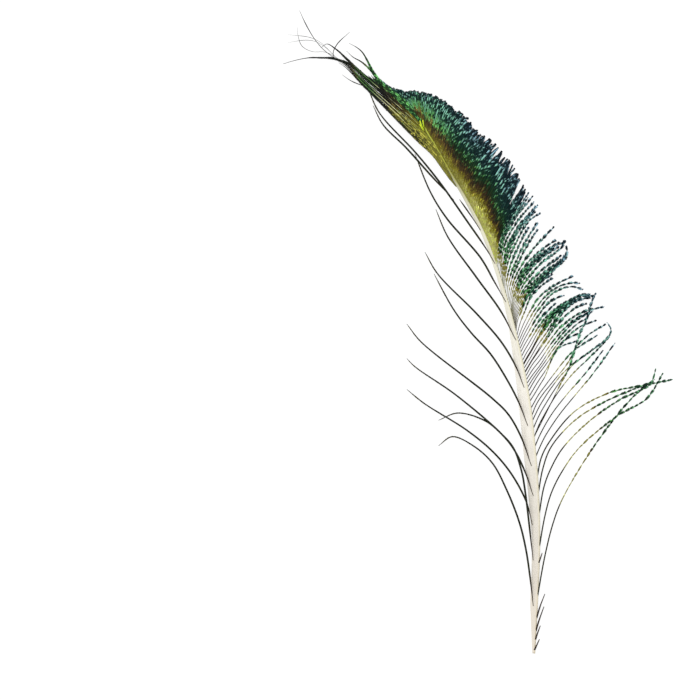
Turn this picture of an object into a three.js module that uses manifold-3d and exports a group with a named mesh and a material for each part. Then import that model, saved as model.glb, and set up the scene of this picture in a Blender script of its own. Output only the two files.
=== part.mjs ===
// Peacock sword feather, lying face up on a flat surface.
// A pale shaft bends over to the left at its tip. On its right grows a close, shimmering
// vane that loosens downwards into a comb of separate locks, on its left single long barbs.
// Millimetres: +Y runs from the cut end of the quill to the tip, +Z up from the surface.

import * as THREE from "three";
import { mergeVertices } from "three/addons/utils/BufferGeometryUtils.js";
import Module from "manifold-3d";

const wasm = await Module();
wasm.setup();

// Centre line of the shaft's ridge, from the cut end of the quill at [0, 0] to the tip
const SHAFT_LINE = [
  [0, 0], [1.2, 27.5], [2.2, 51], [2.4, 73], [1.8, 95], [0.5, 114.5], [-1.5, 136.5], [-6, 159.5],
  [-12, 184.5], [-18.5, 205.5], [-27, 228.5], [-37.5, 249], [-47, 265], [-55.5, 280], [-62, 292.5],
];

// Along the shaft: distance from the cut end, reach to the left and right of the ridge, height
const SHAFT_SIZES = [
  [0, 1.0, 0.6, 1.6], [27, 3.3, 0.9, 2.5], [62, 3.6, 0.9, 3.0], [80, 4.8, 0.9, 3.3],
  [108, 6.0, 0.8, 3.4], [136, 6.0, 0.8, 3.2], [160, 4.4, 0.8, 2.8], [185, 2.4, 0.7, 2.4],
  [208, 1.5, 0.7, 2.1], [255, 0.9, 0.6, 1.7], [306, 0.5, 0.5, 1.1],
];
const SHAFT_LIFT = 2.2;
const SHAFT_LIFT_START = 150;
const SHAFT_LIFT_RUN = 120;
const SHAFT_STEPS = 32;

// The shaft's section: a side of the ridge, the share of its reach, the share of the height
const SHAFT_SECTION = [
  ["right", 1, 0], ["right", 1, 0.5], ["right", 0.4, 1], ["left", -0.15, 1],
  ["left", -0.6, 0.72], ["left", -1, 0.35], ["left", -1, 0],
];

// A barb leaves the shaft at this share of the shaft's height
const ROOT_SHARE = 0.4;

// Ribs of the close vane, each from the shaft to the vane's outer edge, tip end last
const VANE_RIBS = [
  [[-19, 207], [-18.5, 214], [-18, 221.5], [-16, 229], [-12.5, 235], [-9, 241], [-0.5, 251.5]],
  [[-22, 214.5], [-21.5, 221.5], [-20, 229], [-17, 235.5], [-12, 243.5], [-5.5, 256]],
  [[-26, 224.5], [-25, 232], [-22.5, 239.5], [-19, 246.5], [-15, 253.5], [-9, 263]],
  [[-29.5, 234.5], [-28.5, 241.5], [-26, 248.5], [-22.5, 255.5], [-18.5, 262.5], [-14, 271]],
  [[-34, 243.5], [-32.5, 252], [-29.5, 258.5], [-26.5, 265], [-22.5, 271], [-18, 276.5]],
  [[-39, 253], [-37, 262], [-34.5, 268], [-31.5, 274], [-27.5, 278.5], [-24, 282]],
  [[-43.5, 261], [-42, 270], [-39.5, 276], [-37, 281.5], [-33.5, 286.5], [-31, 289.5]],
  [[-48, 268.5], [-46, 278.5], [-44.5, 284], [-42, 289.5], [-39, 293], [-37, 295]],
  [[-52, 276], [-50.5, 284.5], [-49, 290], [-47, 295.5], [-44.5, 299]],
  [[-55.5, 282.5], [-55, 290], [-54, 295.5], [-52.5, 300.5], [-51, 304]],
  [[-58.5, 287.5], [-59.5, 294], [-59.5, 299], [-59, 303.5], [-58.5, 307]],
  [[-60.8, 291.5], [-63, 297], [-65, 301.5], [-66, 305.5], [-66.5, 308.5]],
  [[-61.6, 292.6], [-66, 298.5], [-69.5, 303], [-72, 306.5], [-73.5, 309.5]],
  [[-62.2, 293.3], [-68.5, 300.5], [-75, 307], [-80.5, 312.5]],
  [[-62.4, 293], [-70.5, 301], [-79, 309], [-86, 316.5]],
  [[-62.2, 292], [-72, 301], [-82, 310], [-90, 318]],
  [[-61.4, 290.5], [-71.5, 299.5], [-82.5, 308.5], [-92.5, 317.5]],
  [[-59.5, 286.5], [-70.5, 296.5], [-83, 307], [-93.5, 316]],
  [[-56, 280.5], [-68.5, 293], [-82, 305], [-93.5, 314]],
  [[-50.5, 270.5], [-60, 282.5], [-76, 298], [-92.5, 312]],
  [[-43.5, 258], [-56, 274.5], [-72, 291.5], [-89, 307.5]],
];
const VANE_COLUMNS = 66;
const VANE_ROWS = 7;
const VANE_RIDGE = 0.45;
const VANE_TOOTH = 0.05;
const VANE_ROOT_THICKNESS = 1.3;
const VANE_EDGE_THICKNESS = 0.9;
const VANE_RISE = 2.6;
const VANE_EDGE_HEIGHT = 0.1;
// Over these ribs the vane turns on to the tip, where it lies flatter and stands off the surface
const TIPWARD_FROM_RIB = 11;
const TIPWARD_RIBS = 3;
const TIPWARD_LIFT = 2.2;
const TIPWARD_FLATTENING = 0.6;
// Where the outer edge has parted, as a share of the way from the first rib to the last
const VANE_SPLITS = [0.07, 0.17, 0.24, 0.33];
const SPLIT_DEPTH = 0.2;

// Locks of the comb under the close vane, lowest first, each from the shaft to its tip
const COMB_LOCKS = [
  [[1, 106], [3, 112.5], [7, 122.5], [14, 131], [28.5, 147.5], [44.5, 170.5]],
  [[0.5, 111.5], [2, 119], [7.5, 129], [14.5, 138], [28, 153], [38, 166.5]],
  [[0, 116.5], [1.5, 124.5], [7.5, 135], [17.5, 149.5], [31, 163], [40.5, 173], [42.5, 177.5]],
  [[-0.5, 121], [1, 128.5], [7, 139], [17.5, 153], [39.5, 172.5], [42.5, 177.5], [40, 182]],
  [[-1, 125.5], [0.5, 132], [11.5, 149.5], [18, 156], [38.5, 171.5]],
  [[-1, 129], [0, 136], [5.5, 144.5], [17, 155], [20, 162], [23, 168], [30, 175], [39.5, 181]],
  [[-1.5, 133], [-0.5, 139], [4, 147.5], [9.5, 154.5], [21, 165.5], [35, 175]],
  [[-2, 137], [-0.5, 143], [3, 150], [7, 157], [9.5, 163], [13, 167], [23, 171.5]],
  [[-3, 142.5], [-1, 149], [4, 158], [11.5, 167], [18.5, 174], [25.5, 179.5], [34.5, 183]],
  [[-3.5, 147.5], [-1.5, 154.5], [1.5, 160.5], [9.5, 170.5], [22.5, 182.5], [32.5, 188]],
  [[-4.5, 152], [-3, 159], [0.5, 165], [8, 175], [13, 179.5], [25.5, 187], [38.5, 190.5]],
  [[-5.5, 156], [-4, 163.5], [-0.5, 169.5], [3.5, 175.5], [14.5, 188], [22, 194], [31, 195.5]],
  [[-6.5, 160.5], [-4, 167], [-1.5, 173], [2, 179.5], [10, 187], [18, 193], [26.5, 197], [33.5, 196]],
  [[-7, 164.5], [-5.5, 171.5], [-2.5, 178], [1, 183.5], [12, 192.5]],
  [[-8, 168.5], [-6.5, 175.5], [-4, 182], [3.5, 192.5], [10.5, 198.5], [20, 201.5], [27, 200]],
  [[-9, 172], [-7.5, 179], [-5, 185], [-1.5, 191.5], [2, 196], [10, 201.5], [21.5, 207.5]],
  [[-10, 176], [-9, 183], [-6.5, 189], [-3.5, 196], [4, 204], [10, 208.5]],
  [[-11, 180], [-10, 187], [-7.5, 193], [-4.5, 199], [4, 209.5], [16, 218.5], [17, 224]],
  [[-12, 183.5], [-11, 191], [-8.5, 197], [-5.5, 203], [3, 213.5], [15.5, 223.5], [17, 227]],
  [[-13, 187], [-12, 194], [-10, 201], [-4, 212], [4, 219.5], [12.5, 225], [16, 225.5]],
  [[-14, 191], [-13, 197.5], [-11.5, 203.5], [-9, 209.5], [-1.5, 221], [11, 234.5]],
  [[-15, 194], [-14.5, 201], [-13, 207.5], [-10.5, 214], [-4.5, 226.5], [2, 237]],
  [[-16.5, 198.5], [-16, 205.5], [-15, 212], [-13, 219], [-10, 225.5], [-3, 237.5], [3.5, 242]],
  [[-17.5, 202.5], [-17.5, 209.5], [-16.5, 217], [-14.5, 224.5], [-8, 235.5], [2, 246.5]],
];
const COMB_WIDE = 2.2;
const COMB_THICK = 1.3;
const COMB_RISE = 3.4;
// The tips curl up from the surface, each by another part of the full curl
const COMB_CURL = 3.6;
const CURL_TURN = 2.1;
const LOWEST_TIP = 0.15;
// A thinner, shorter lock lies between each two
const BETWEEN_WIDE = 1.3;
const BETWEEN_LENGTH = 0.78;
const BETWEEN_CURL = 0.5;
const BETWEEN_LIFT = 0.8;

// Long barbs of the tuft that stands off to the right, near the quill
const TUFT_BARBS = [
  [
    [1.2, 27], [6, 53.5], [10.5, 71.5], [15.5, 84.5],
    [32.5, 113], [50.5, 136.5], [60, 146], [66.5, 150.5],
  ],
  [[2.2, 54], [6, 75.5], [9.5, 88], [15.5, 100], [25, 113], [46, 130.5], [62, 140], [71, 154]],
  [[2.3, 73], [5.5, 91.5], [9.5, 102], [16, 113], [31, 128], [47.5, 139.5], [64, 148], [67, 156.5]],
  [[2, 86], [5, 102], [9.5, 113.5], [22.5, 128], [39.5, 138.5], [66, 149.5]],
  [[1.6, 96], [4, 107.5], [9, 117], [22.5, 133], [42.5, 143.5], [59, 147], [76.5, 150.5]],
];
const TUFT_WIDE = 1.7;
const TUFT_RISE = 4.6;
const TUFT_TIP_HEIGHTS = [2.6, 4.6, 6.5, 3.6, 5.5];

// Single barbs of the open left side, lowest first
const LEFT_BARBS = [
  [
    [-0.5, 26], [-2, 40], [-4.5, 57], [-8, 71.5], [-15, 89.5],
    [-23, 104.5], [-33.5, 114], [-45, 119], [-52.5, 114],
  ],
  [
    [-0.5, 51], [-5, 89.5], [-7, 100.5], [-11.5, 113],
    [-19, 121.5], [-27.5, 128], [-42, 132], [-52.5, 128],
  ],
  [[-1, 70.5], [-4, 82.5], [-12.5, 98.5], [-23, 111], [-37, 122.5], [-60, 137], [-70, 145]],
  [[-0.5, 86.5], [-4.5, 98.5], [-10.5, 111], [-17, 119.5], [-42.5, 141.5], [-65.5, 157.5], [-70, 162]],
  [[-1.5, 103], [-7, 118.5], [-14, 131], [-23, 140], [-62, 171], [-70, 181]],
  [[-3.5, 125], [-8.5, 138], [-15, 150.5], [-24, 164.5], [-34.5, 176], [-44, 188.5], [-55, 208.5]],
  [[-5.5, 146], [-10, 157.5], [-18, 171], [-31.5, 186.5], [-53, 208.5], [-60, 220.5]],
  [[-10, 172], [-18, 187.5], [-32, 207], [-47.5, 229], [-54, 244]],
  [[-15.5, 193], [-22, 204.5], [-29.5, 217.5], [-48, 239], [-57, 253.5], [-65.5, 274.5]],
  [[-21.5, 214], [-25.5, 221], [-36.5, 237], [-52, 259], [-65, 275], [-85, 297], [-91.5, 311]],
  [[-44, 249], [-57.5, 263.5], [-70.5, 278], [-83, 290.5], [-88.5, 301]],
  [[-29.5, 232.5], [-33, 238], [-41, 249.5]],
];
const LEFT_WIDE = 1.6;
const LEFT_RISE = 4.4;
// A short barb rises less: by this share of its length
const LEFT_RISE_SHARE = 0.06;
const LEFT_TIP_HEIGHT = 0.2;

// Strands of the tip: where each starts and ends above the surface, its width and its course
const TIP_STRANDS = [
  {
    from: 3.4, to: 0.3, rise: 2.6, wide: 5.5,
    line: [[-84, 308.5], [-92, 315], [-104, 323.5], [-122, 328], [-138.5, 323.5]],
  },
  {
    from: 3.4, to: 6.5, rise: 1.6, wide: 4,
    line: [[-84, 312], [-96, 322], [-105.5, 329.5], [-114, 335], [-117.5, 332]],
  },
  {
    from: 3.2, to: 5, rise: 1.6, wide: 3.2,
    line: [[-78, 308.5], [-85.5, 316], [-92, 325], [-97, 333], [-103.5, 336]],
  },
  { from: 3.2, to: 3.4, rise: 1, wide: 3, line: [[-80, 310], [-87, 316.5], [-103.5, 331.5]] },
  {
    from: 3.4, to: 10, rise: 0, wide: 1.2,
    line: [[-98, 320], [-107, 325], [-110.5, 329.5], [-109, 334], [-103.5, 341.5]],
  },
  {
    from: 3.2, to: 9, rise: 1, wide: 1.4,
    line: [[-96, 318.5], [-108, 326], [-119, 335.5], [-127, 347], [-128.5, 351.5]],
  },
  {
    from: 3, to: 7, rise: -1, wide: 1.2,
    line: [[-100, 321], [-111, 328.5], [-123, 331], [-129, 337.5], [-130.5, 343]],
  },
  {
    from: 3.6, to: 4, rise: 2, wide: 1,
    line: [[-106, 326], [-117.5, 335.5], [-128.5, 337.5], [-135, 336.5]],
  },
  {
    from: 4.4, to: 5, rise: 2, wide: 1,
    line: [[-110, 328.5], [-116.5, 335], [-121.5, 338], [-135, 340]],
  },
  { from: 2.6, to: 0.6, rise: 1.4, wide: 1.4, line: [[-86, 308], [-98.5, 313.5], [-105.5, 318]] },
];

// Short broken barbs on the right of the quill
const QUILL_STUBS = [
  [[1, 18], [3.5, 26], [6, 32.5]],
  [[0.8, 11.5], [2.8, 18], [5.5, 25.5]],
  [[0.6, 7], [2, 11], [3.5, 15]],
  [[0.2, 1.5], [1.6, 4.5], [3, 7.5]],
  [[2, 48], [3.5, 52], [4.5, 55]],
];
const STUB_RISE = 1.2;
const STUB_TIP_HEIGHT = 1.4;
const STUB_WIDE = 1;
const STUB_THICK = 0.8;

// A lock's width follows a half wave that starts a little way up, so it is widest near its middle
const LOCK_THICK = 1.2;
const LOCK_WAVE_START = 0.14;
const LOCK_WAVE_POWER = 0.8;
const LOCK_TIP_WIDTH = 0.16;
const LOCK_TIP_THICKNESS = 0.45;
const LOWEST_LOCK = 0.05;

const SMALLEST_DETAIL = 0.1;
const MERGE_DISTANCE = 1e-4;
const TEAL = 0x1d4a4c;

// Eases from 0 to 1 while a value runs from a start over a given run
function easeIn(value, start, run) {
  return THREE.MathUtils.smoothstep(value, start, start + run);
}

// Reads a list of sizes at a distance along the shaft, between its stated stations
function sizesAt(distance) {
  const last = SHAFT_SIZES.length - 1;
  const above = SHAFT_SIZES.findIndex(([station]) => station > distance);
  const high = above < 0 ? last : Math.max(above, 1);
  const [lowStation, ...low] = SHAFT_SIZES[high - 1];
  const [highStation, ...top] = SHAFT_SIZES[high];
  const share = THREE.MathUtils.clamp((distance - lowStation) / (highStation - lowStation), 0, 1);
  const [left, right, height] = low.map((size, i) => THREE.MathUtils.lerp(size, top[i], share));
  return { left, right, height, lift: SHAFT_LIFT * easeIn(distance, SHAFT_LIFT_START, SHAFT_LIFT_RUN) };
}

// Smooth level curve through hand-set points
function levelCurve(points) {
  const corners = points.map(([x, y]) => new THREE.Vector3(x, y, 0));
  return new THREE.CatmullRomCurve3(corners, false, "centripetal");
}

const shaftCurve = levelCurve(SHAFT_LINE);
const shaftLength = shaftCurve.getLength();
const SHAFT_SAMPLES = 200;
const shaftSamples = shaftCurve.getSpacedPoints(SHAFT_SAMPLES);

// Height at which a barb leaves the side of the shaft, beside the given point
function rootHeight(point) {
  const gaps = shaftSamples.map((sample) => sample.distanceTo(point));
  const nearest = gaps.indexOf(Math.min(...gaps));
  const { height, lift } = sizesAt((nearest / SHAFT_SAMPLES) * shaftLength);
  return lift + height * ROOT_SHARE;
}

// Skin through rings of points, closed by a flat cap at each end
function loft(rings) {
  const around = rings[0].length;
  const position = rings.flat().flatMap((point) => point.toArray());
  const index = [];
  for (let ring = 0; ring + 1 < rings.length; ring += 1) {
    for (let corner = 0; corner < around; corner += 1) {
      const here = ring * around + corner;
      const beside = ring * around + ((corner + 1) % around);
      index.push(here, here + around, beside, beside, here + around, beside + around);
    }
  }
  const end = (rings.length - 1) * around;
  for (let corner = 1; corner + 1 < around; corner += 1) {
    index.push(0, corner, corner + 1, end, end + corner + 1, end + corner);
  }
  const geometry = new THREE.BufferGeometry();
  geometry.setAttribute("position", new THREE.Float32BufferAttribute(position, 3));
  geometry.setIndex(index);
  return geometry;
}

// Closed solid that can be joined to others
function solidOf(geometry) {
  const merged = mergeVertices(geometry, MERGE_DISTANCE);
  const mesh = new wasm.Mesh({
    numProp: 3,
    vertProperties: merged.attributes.position.array,
    triVerts: new Uint32Array(merged.index.array),
  });
  return new wasm.Manifold(mesh);
}

// The shaft: flat below, with a ridge to the right of the middle and a sloping left flank
function shaft() {
  const rings = [];
  for (let step = 0; step <= SHAFT_STEPS; step += 1) {
    const share = step / SHAFT_STEPS;
    const centre = shaftCurve.getPointAt(share);
    const along = shaftCurve.getTangentAt(share);
    const right = new THREE.Vector3(along.y, -along.x, 0);
    const size = sizesAt(share * shaftLength);
    rings.push(SHAFT_SECTION.map(([side, across, up]) => {
      const point = centre.clone().addScaledVector(right, across * size[side]);
      point.z = size.lift + up * size.height;
      return point;
    }));
  }
  return solidOf(loft(rings));
}

// A lock: a three-sided blade with its flat side down, thin at its tip. It arches up by its
// rise between its height where it starts and its height at the tip.
function lock({ line, from, to, rise, wide, thick = LOCK_THICK, steps }) {
  const curve = line.getPointAt ? line : levelCurve(line);
  const start = from ?? rootHeight(curve.getPointAt(0));
  const rings = [];
  for (let step = 0; step <= steps; step += 1) {
    const share = step / steps;
    const centre = curve.getPointAt(share);
    const along = curve.getTangentAt(share);
    const right = new THREE.Vector3(along.y, -along.x, 0).normalize();
    const phase = Math.PI * THREE.MathUtils.lerp(LOCK_WAVE_START, 1, share);
    const swell = Math.max(Math.sin(phase), 0) ** LOCK_WAVE_POWER;
    const half = (wide / 2) * THREE.MathUtils.lerp(LOCK_TIP_WIDTH, 1, swell);
    const depth = thick * THREE.MathUtils.lerp(LOCK_TIP_THICKNESS, 1, swell);
    const arch = 4 * rise * share * (1 - share);
    const base = Math.max(THREE.MathUtils.lerp(start, to, share) + arch, LOWEST_LOCK);
    rings.push([
      centre.clone().addScaledVector(right, half).setZ(base),
      centre.clone().setZ(base + depth),
      centre.clone().addScaledVector(right, -half).setZ(base),
    ]);
  }
  return solidOf(loft(rings));
}

// Point on the vane's underside: the first share runs over the ribs, the second out along them
function vaneSurface() {
  const ribs = VANE_RIBS.map(levelCurve);
  const last = ribs.length - 1;
  const rows = [];
  for (let row = 0; row <= VANE_ROWS; row += 1) {
    const corners = ribs.map((rib) => rib.getPointAt(row / VANE_ROWS));
    rows.push(new THREE.CatmullRomCurve3(corners, false, "centripetal"));
  }
  return (over, out) => {
    const place = out * VANE_ROWS;
    const low = Math.min(Math.floor(place), VANE_ROWS - 1);
    const point = rows[low].getPoint(over).lerp(rows[low + 1].getPoint(over), place - low);
    const tipward = easeIn(over * last, TIPWARD_FROM_RIB, TIPWARD_RIBS);
    const edge = VANE_EDGE_HEIGHT + tipward * TIPWARD_LIFT;
    const rise = VANE_RISE * (1 - TIPWARD_FLATTENING * tipward);
    const arch = 4 * rise * out * (1 - out);
    point.z = THREE.MathUtils.lerp(rootHeight(rows[0].getPoint(over)), edge, out) + arch;
    return point;
  };
}

// The close vane: a thin arched sheet, ridged by its barbs and toothed along its outer edge.
// Its ridges fade in from the shaft over a share of the way out.
const RIDGE_FADE = 0.4;
function vane() {
  const surface = vaneSurface();
  const top = [];
  const bottom = [];
  for (let column = 0; column <= VANE_COLUMNS; column += 1) {
    const over = column / VANE_COLUMNS;
    const parted = VANE_SPLITS.some((split) => Math.abs(split - over) < 0.5 / VANE_COLUMNS);
    const reach = 1 - (parted ? SPLIT_DEPTH : (column % 2) * VANE_TOOTH);
    for (let row = 0; row <= VANE_ROWS; row += 1) {
      const out = (row / VANE_ROWS) * reach;
      const low = surface(over, out);
      const thickness = THREE.MathUtils.lerp(VANE_ROOT_THICKNESS, VANE_EDGE_THICKNESS, out);
      bottom.push(low);
      const groove = (column % 2) * VANE_RIDGE * easeIn(out, 0, RIDGE_FADE);
      top.push(low.clone().setZ(low.z + thickness - groove));
    }
  }
  const wide = VANE_ROWS + 1;
  const count = top.length;
  const index = [];
  for (let column = 0; column < VANE_COLUMNS; column += 1) {
    for (let row = 0; row < VANE_ROWS; row += 1) {
      const a = column * wide + row;
      const b = a + wide;
      index.push(a, a + 1, b, b, a + 1, b + 1);
      index.push(count + a, count + b, count + a + 1, count + b, count + b + 1, count + a + 1);
    }
  }
  const wall = (a, b) => index.push(a, b, count + a, b, count + b, count + a);
  for (let column = 0; column < VANE_COLUMNS; column += 1) {
    wall(column * wide, (column + 1) * wide);
    wall((column + 1) * wide + VANE_ROWS, column * wide + VANE_ROWS);
  }
  for (let row = 0; row < VANE_ROWS; row += 1) {
    wall(row + 1, row);
    wall(VANE_COLUMNS * wide + row, VANE_COLUMNS * wide + row + 1);
  }
  const position = [...top, ...bottom].flatMap((point) => point.toArray());
  const geometry = new THREE.BufferGeometry();
  geometry.setAttribute("position", new THREE.Float32BufferAttribute(position, 3));
  geometry.setIndex(index);
  return solidOf(geometry);
}

// The comb: each stated lock, and a thinner one half way between each two
function comb() {
  const curves = COMB_LOCKS.map(levelCurve);
  const locks = [];
  curves.forEach((line, i) => {
    const curl = COMB_CURL * (0.5 + 0.5 * Math.sin(CURL_TURN * i));
    locks.push(lock({
      line, to: LOWEST_TIP + curl, rise: COMB_RISE, wide: COMB_WIDE, thick: COMB_THICK, steps: 7,
    }));
    if (i + 1 === curves.length) return;
    const corners = [0, 0.25, 0.5, 0.75, 1].map((share) => {
      const reach = share * BETWEEN_LENGTH;
      return line.getPointAt(reach).lerp(curves[i + 1].getPointAt(reach), 0.5);
    });
    const between = new THREE.CatmullRomCurve3(corners, false, "centripetal");
    locks.push(lock({
      line: between, to: BETWEEN_LIFT + BETWEEN_CURL * curl, rise: COMB_RISE,
      wide: BETWEEN_WIDE, steps: 6,
    }));
  });
  return locks;
}

function tuft() {
  return TUFT_BARBS.map((line, i) => lock({
    line, to: TUFT_TIP_HEIGHTS[i], rise: TUFT_RISE, wide: TUFT_WIDE, steps: 10,
  }));
}

function leftBarbs() {
  return LEFT_BARBS.map((line) => {
    const rise = Math.min(LEFT_RISE, levelCurve(line).getLength() * LEFT_RISE_SHARE);
    return lock({ line, to: LEFT_TIP_HEIGHT, rise, wide: LEFT_WIDE, steps: 10 });
  });
}

function tipStrands() {
  return TIP_STRANDS.map((strand) => lock({ ...strand, steps: 9 }));
}

function stubs() {
  return QUILL_STUBS.map((line) => lock({
    line, to: STUB_TIP_HEIGHT, rise: STUB_RISE, wide: STUB_WIDE, thick: STUB_THICK, steps: 3,
  }));
}

const pieces = [shaft(), vane(), ...comb(), ...tuft(), ...leftBarbs(), ...tipStrands(), ...stubs()];
const whole = pieces.reduce((sum, piece) => sum.add(piece)).simplify(SMALLEST_DETAIL);
const joined = whole.getMesh();
const skin = new THREE.BufferGeometry();
skin.setAttribute("position", new THREE.BufferAttribute(joined.vertProperties, joined.numProp));
skin.setIndex(new THREE.BufferAttribute(joined.triVerts, 1));
skin.computeVertexNormals();

const material = new THREE.MeshStandardMaterial({ color: TEAL, roughness: 0.45, metalness: 0.2 });
const feather = new THREE.Mesh(skin, material);
feather.name = "feather";

// The origin is under the middle of the feather's box, on the surface it lies on
skin.computeBoundingBox();
const middle = skin.boundingBox.getCenter(new THREE.Vector3());
feather.position.set(-middle.x, -middle.y, -skin.boundingBox.min.z);

const group = new THREE.Group();
group.add(feather);
export default group;
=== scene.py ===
"""A peacock sword feather lying face up on a pale surface, seen from straight above."""
import math

import bpy
import numpy as np
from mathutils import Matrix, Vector


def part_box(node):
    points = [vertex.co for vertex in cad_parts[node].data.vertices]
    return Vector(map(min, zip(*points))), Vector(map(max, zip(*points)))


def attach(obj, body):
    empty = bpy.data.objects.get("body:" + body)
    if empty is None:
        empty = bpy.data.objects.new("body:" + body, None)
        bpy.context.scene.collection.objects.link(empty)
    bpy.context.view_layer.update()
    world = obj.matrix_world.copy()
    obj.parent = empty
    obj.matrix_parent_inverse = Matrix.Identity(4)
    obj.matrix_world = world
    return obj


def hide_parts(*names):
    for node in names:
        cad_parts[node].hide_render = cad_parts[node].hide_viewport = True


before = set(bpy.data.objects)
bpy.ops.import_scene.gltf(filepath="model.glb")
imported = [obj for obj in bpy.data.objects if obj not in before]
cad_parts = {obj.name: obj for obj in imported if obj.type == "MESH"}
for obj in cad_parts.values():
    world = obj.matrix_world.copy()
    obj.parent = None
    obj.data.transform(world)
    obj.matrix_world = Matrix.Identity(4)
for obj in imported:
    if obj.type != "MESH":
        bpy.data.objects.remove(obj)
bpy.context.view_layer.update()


# The shaft
# Quill and rachis are one solid length of ivory keratin: a raised rib on the right, which the
# close barbs leave, and a wide flank that slopes down to the left. It lies on the surface.
MM = 0.001
LEFT_OF_CUT_END = 138.62
low_corner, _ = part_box("feather")
CUT_END = np.array([low_corner.x + LEFT_OF_CUT_END * MM, low_corner.y, 0.0])

SHAFT_LINE = [
    (0, 0), (1.2, 27.5), (2.2, 51), (2.3, 73), (1.4, 95), (-0.2, 114.5), (-2.6, 136.5), (-6.8, 159.5),
    (-12.5, 184.5), (-18.7, 205.5), (-27, 228.5), (-37.5, 249), (-47, 265), (-55.5, 280),
    (-59.3, 286.5), (-60.6, 291.4),
]
# Distance from the cut end, reach to the left and right of the rib, height
SHAFT_SIZES = np.array([
    (0, 1.0, 0.6, 1.6), (27, 3.3, 0.9, 2.5), (62, 3.6, 0.9, 3.0), (80, 4.8, 0.9, 3.3),
    (108, 6.0, 0.8, 3.4), (136, 6.0, 0.8, 3.2), (160, 4.4, 0.8, 2.8), (185, 2.4, 0.7, 2.4),
    (208, 1.5, 0.7, 2.1), (255, 1.0, 0.7, 1.9), (290, 0.8, 0.7, 1.8), (298, 0.7, 0.7, 1.8),
    (303, 0.3, 0.3, 1.6),
])
SHAFT_LIFT = 2.2
LIFT_STARTS, LIFT_ENDS = 150, 270
# The section's upper outline from left to right: share of the left or right reach, and of the height
SECTION_TOP = [
    (-1.0, 0.1), (-0.99, 0.3), (-0.86, 0.5), (-0.62, 0.68), (-0.38, 0.8), (-0.27, 0.82),
    (-0.15, 0.96), (0.2, 1.0), (0.8, 0.88), (1.0, 0.5), (1.0, 0.1),
]
# Its underside, from right to left: flat, with a shallow groove
SECTION_UNDER = [(0.7, 0), (-0.1, 0), (-0.2, 0.07), (-0.4, 0.07), (-0.5, 0), (-0.9, 0)]
SHAFT_RINGS, SHAFT_AROUND = 300, 44
# Points that a smooth line has between two given ones before it is evenly spaced
FINE_STEPS = 24
# Lines over the whole length and around, of the mauve streaks and of the fine grooves
STREAK_FINENESS, GROOVE_FINENESS = (26, 90), (40, 160)
GROOVE_DEPTH, GROOVE_STRENGTH = 0.12, 0.35
# How strongly the streaks show on the rib, and how much more they do on the flank
STREAKS_ON_RIB, MORE_ON_FLANK = 0.15, 0.55
KERATIN_ROUGHNESS, STREAKS_ROUGHER = 0.3, 0.2
# Shares of the left reach at which the rib turns to flank, of the right reach at which the barbs'
# bases tint it, and of the length over which that tint sets in
FLANK_EDGE, BARBED_EDGE, BARBED_START = (0.02, 0.16), (0.6, 0.95), (0.1, 0.2)
BARBED_TINT = 0.7


def smooth(value, start, end):
    """0 before start, 1 after end, and an S-curve in between."""
    share = np.clip((value - start) / (end - start), 0, 1)
    return share * share * (3 - 2 * share)


def run_along(line):
    """Distance of each point from the first, along the line."""
    return np.concatenate([[0], np.cumsum(np.linalg.norm(np.diff(line, axis=0), axis=1))])


def spaced(line, count):
    """The line again as count points at equal distances."""
    run = run_along(line)
    at = np.linspace(0, run[-1], count)
    return np.column_stack([np.interp(at, run, axis) for axis in line.T])


def course(points, count):
    """A smooth line of count evenly spaced points through given ones. Each stretch is a cubic
    whose end slopes weigh both neighbours by the square root of their distance."""
    p = np.asarray(points, float)
    p = np.vstack([2 * p[0] - p[1], p, 2 * p[-1] - p[-2]])
    gap = np.sqrt(np.linalg.norm(np.diff(p, axis=0), axis=1))[:, None]
    pace = np.diff(p, axis=0) / gap
    slope = pace[:-1] + pace[1:] - (p[2:] - p[:-2]) / (gap[:-1] + gap[1:])
    u = np.linspace(0, 1, FINE_STEPS, endpoint=False)[:, None, None]
    leave, arrive = slope[:-1] * gap[1:-1], slope[1:] * gap[1:-1]
    fine = (
        (2 * u ** 3 - 3 * u ** 2 + 1) * p[1:-2] + (u ** 3 - 2 * u ** 2 + u) * leave
        + (3 * u ** 2 - 2 * u ** 3) * p[2:-1] + (u ** 3 - u ** 2) * arrive
    )
    fine = np.vstack([fine.transpose(1, 0, 2).reshape(-1, p.shape[1]), p[-2]])
    return spaced(fine, count)


def headings(line):
    """Unit direction at each point of a line, and the level unit direction to its right."""
    along = np.gradient(line, axis=0)
    along /= np.linalg.norm(along, axis=1)[:, None]
    right = np.column_stack([along[:, 1], -along[:, 0]])
    right /= np.linalg.norm(right, axis=1)[:, None]
    return along, np.column_stack([right, np.zeros(len(line))])


SHAFT = course(SHAFT_LINE, SHAFT_RINGS)
SHAFT_RUN = run_along(SHAFT)
SHAFT_RIGHT = headings(SHAFT)[1][:, :2]


def shaft_sizes(run):
    """Reach to the left and to the right, height, and lift off the surface, at a distance."""
    left, right, height = (np.interp(run, SHAFT_SIZES[:, 0], size) for size in SHAFT_SIZES.T[1:])
    return left, right, height, SHAFT_LIFT * smooth(run, LIFT_STARTS, LIFT_ENDS)


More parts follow.
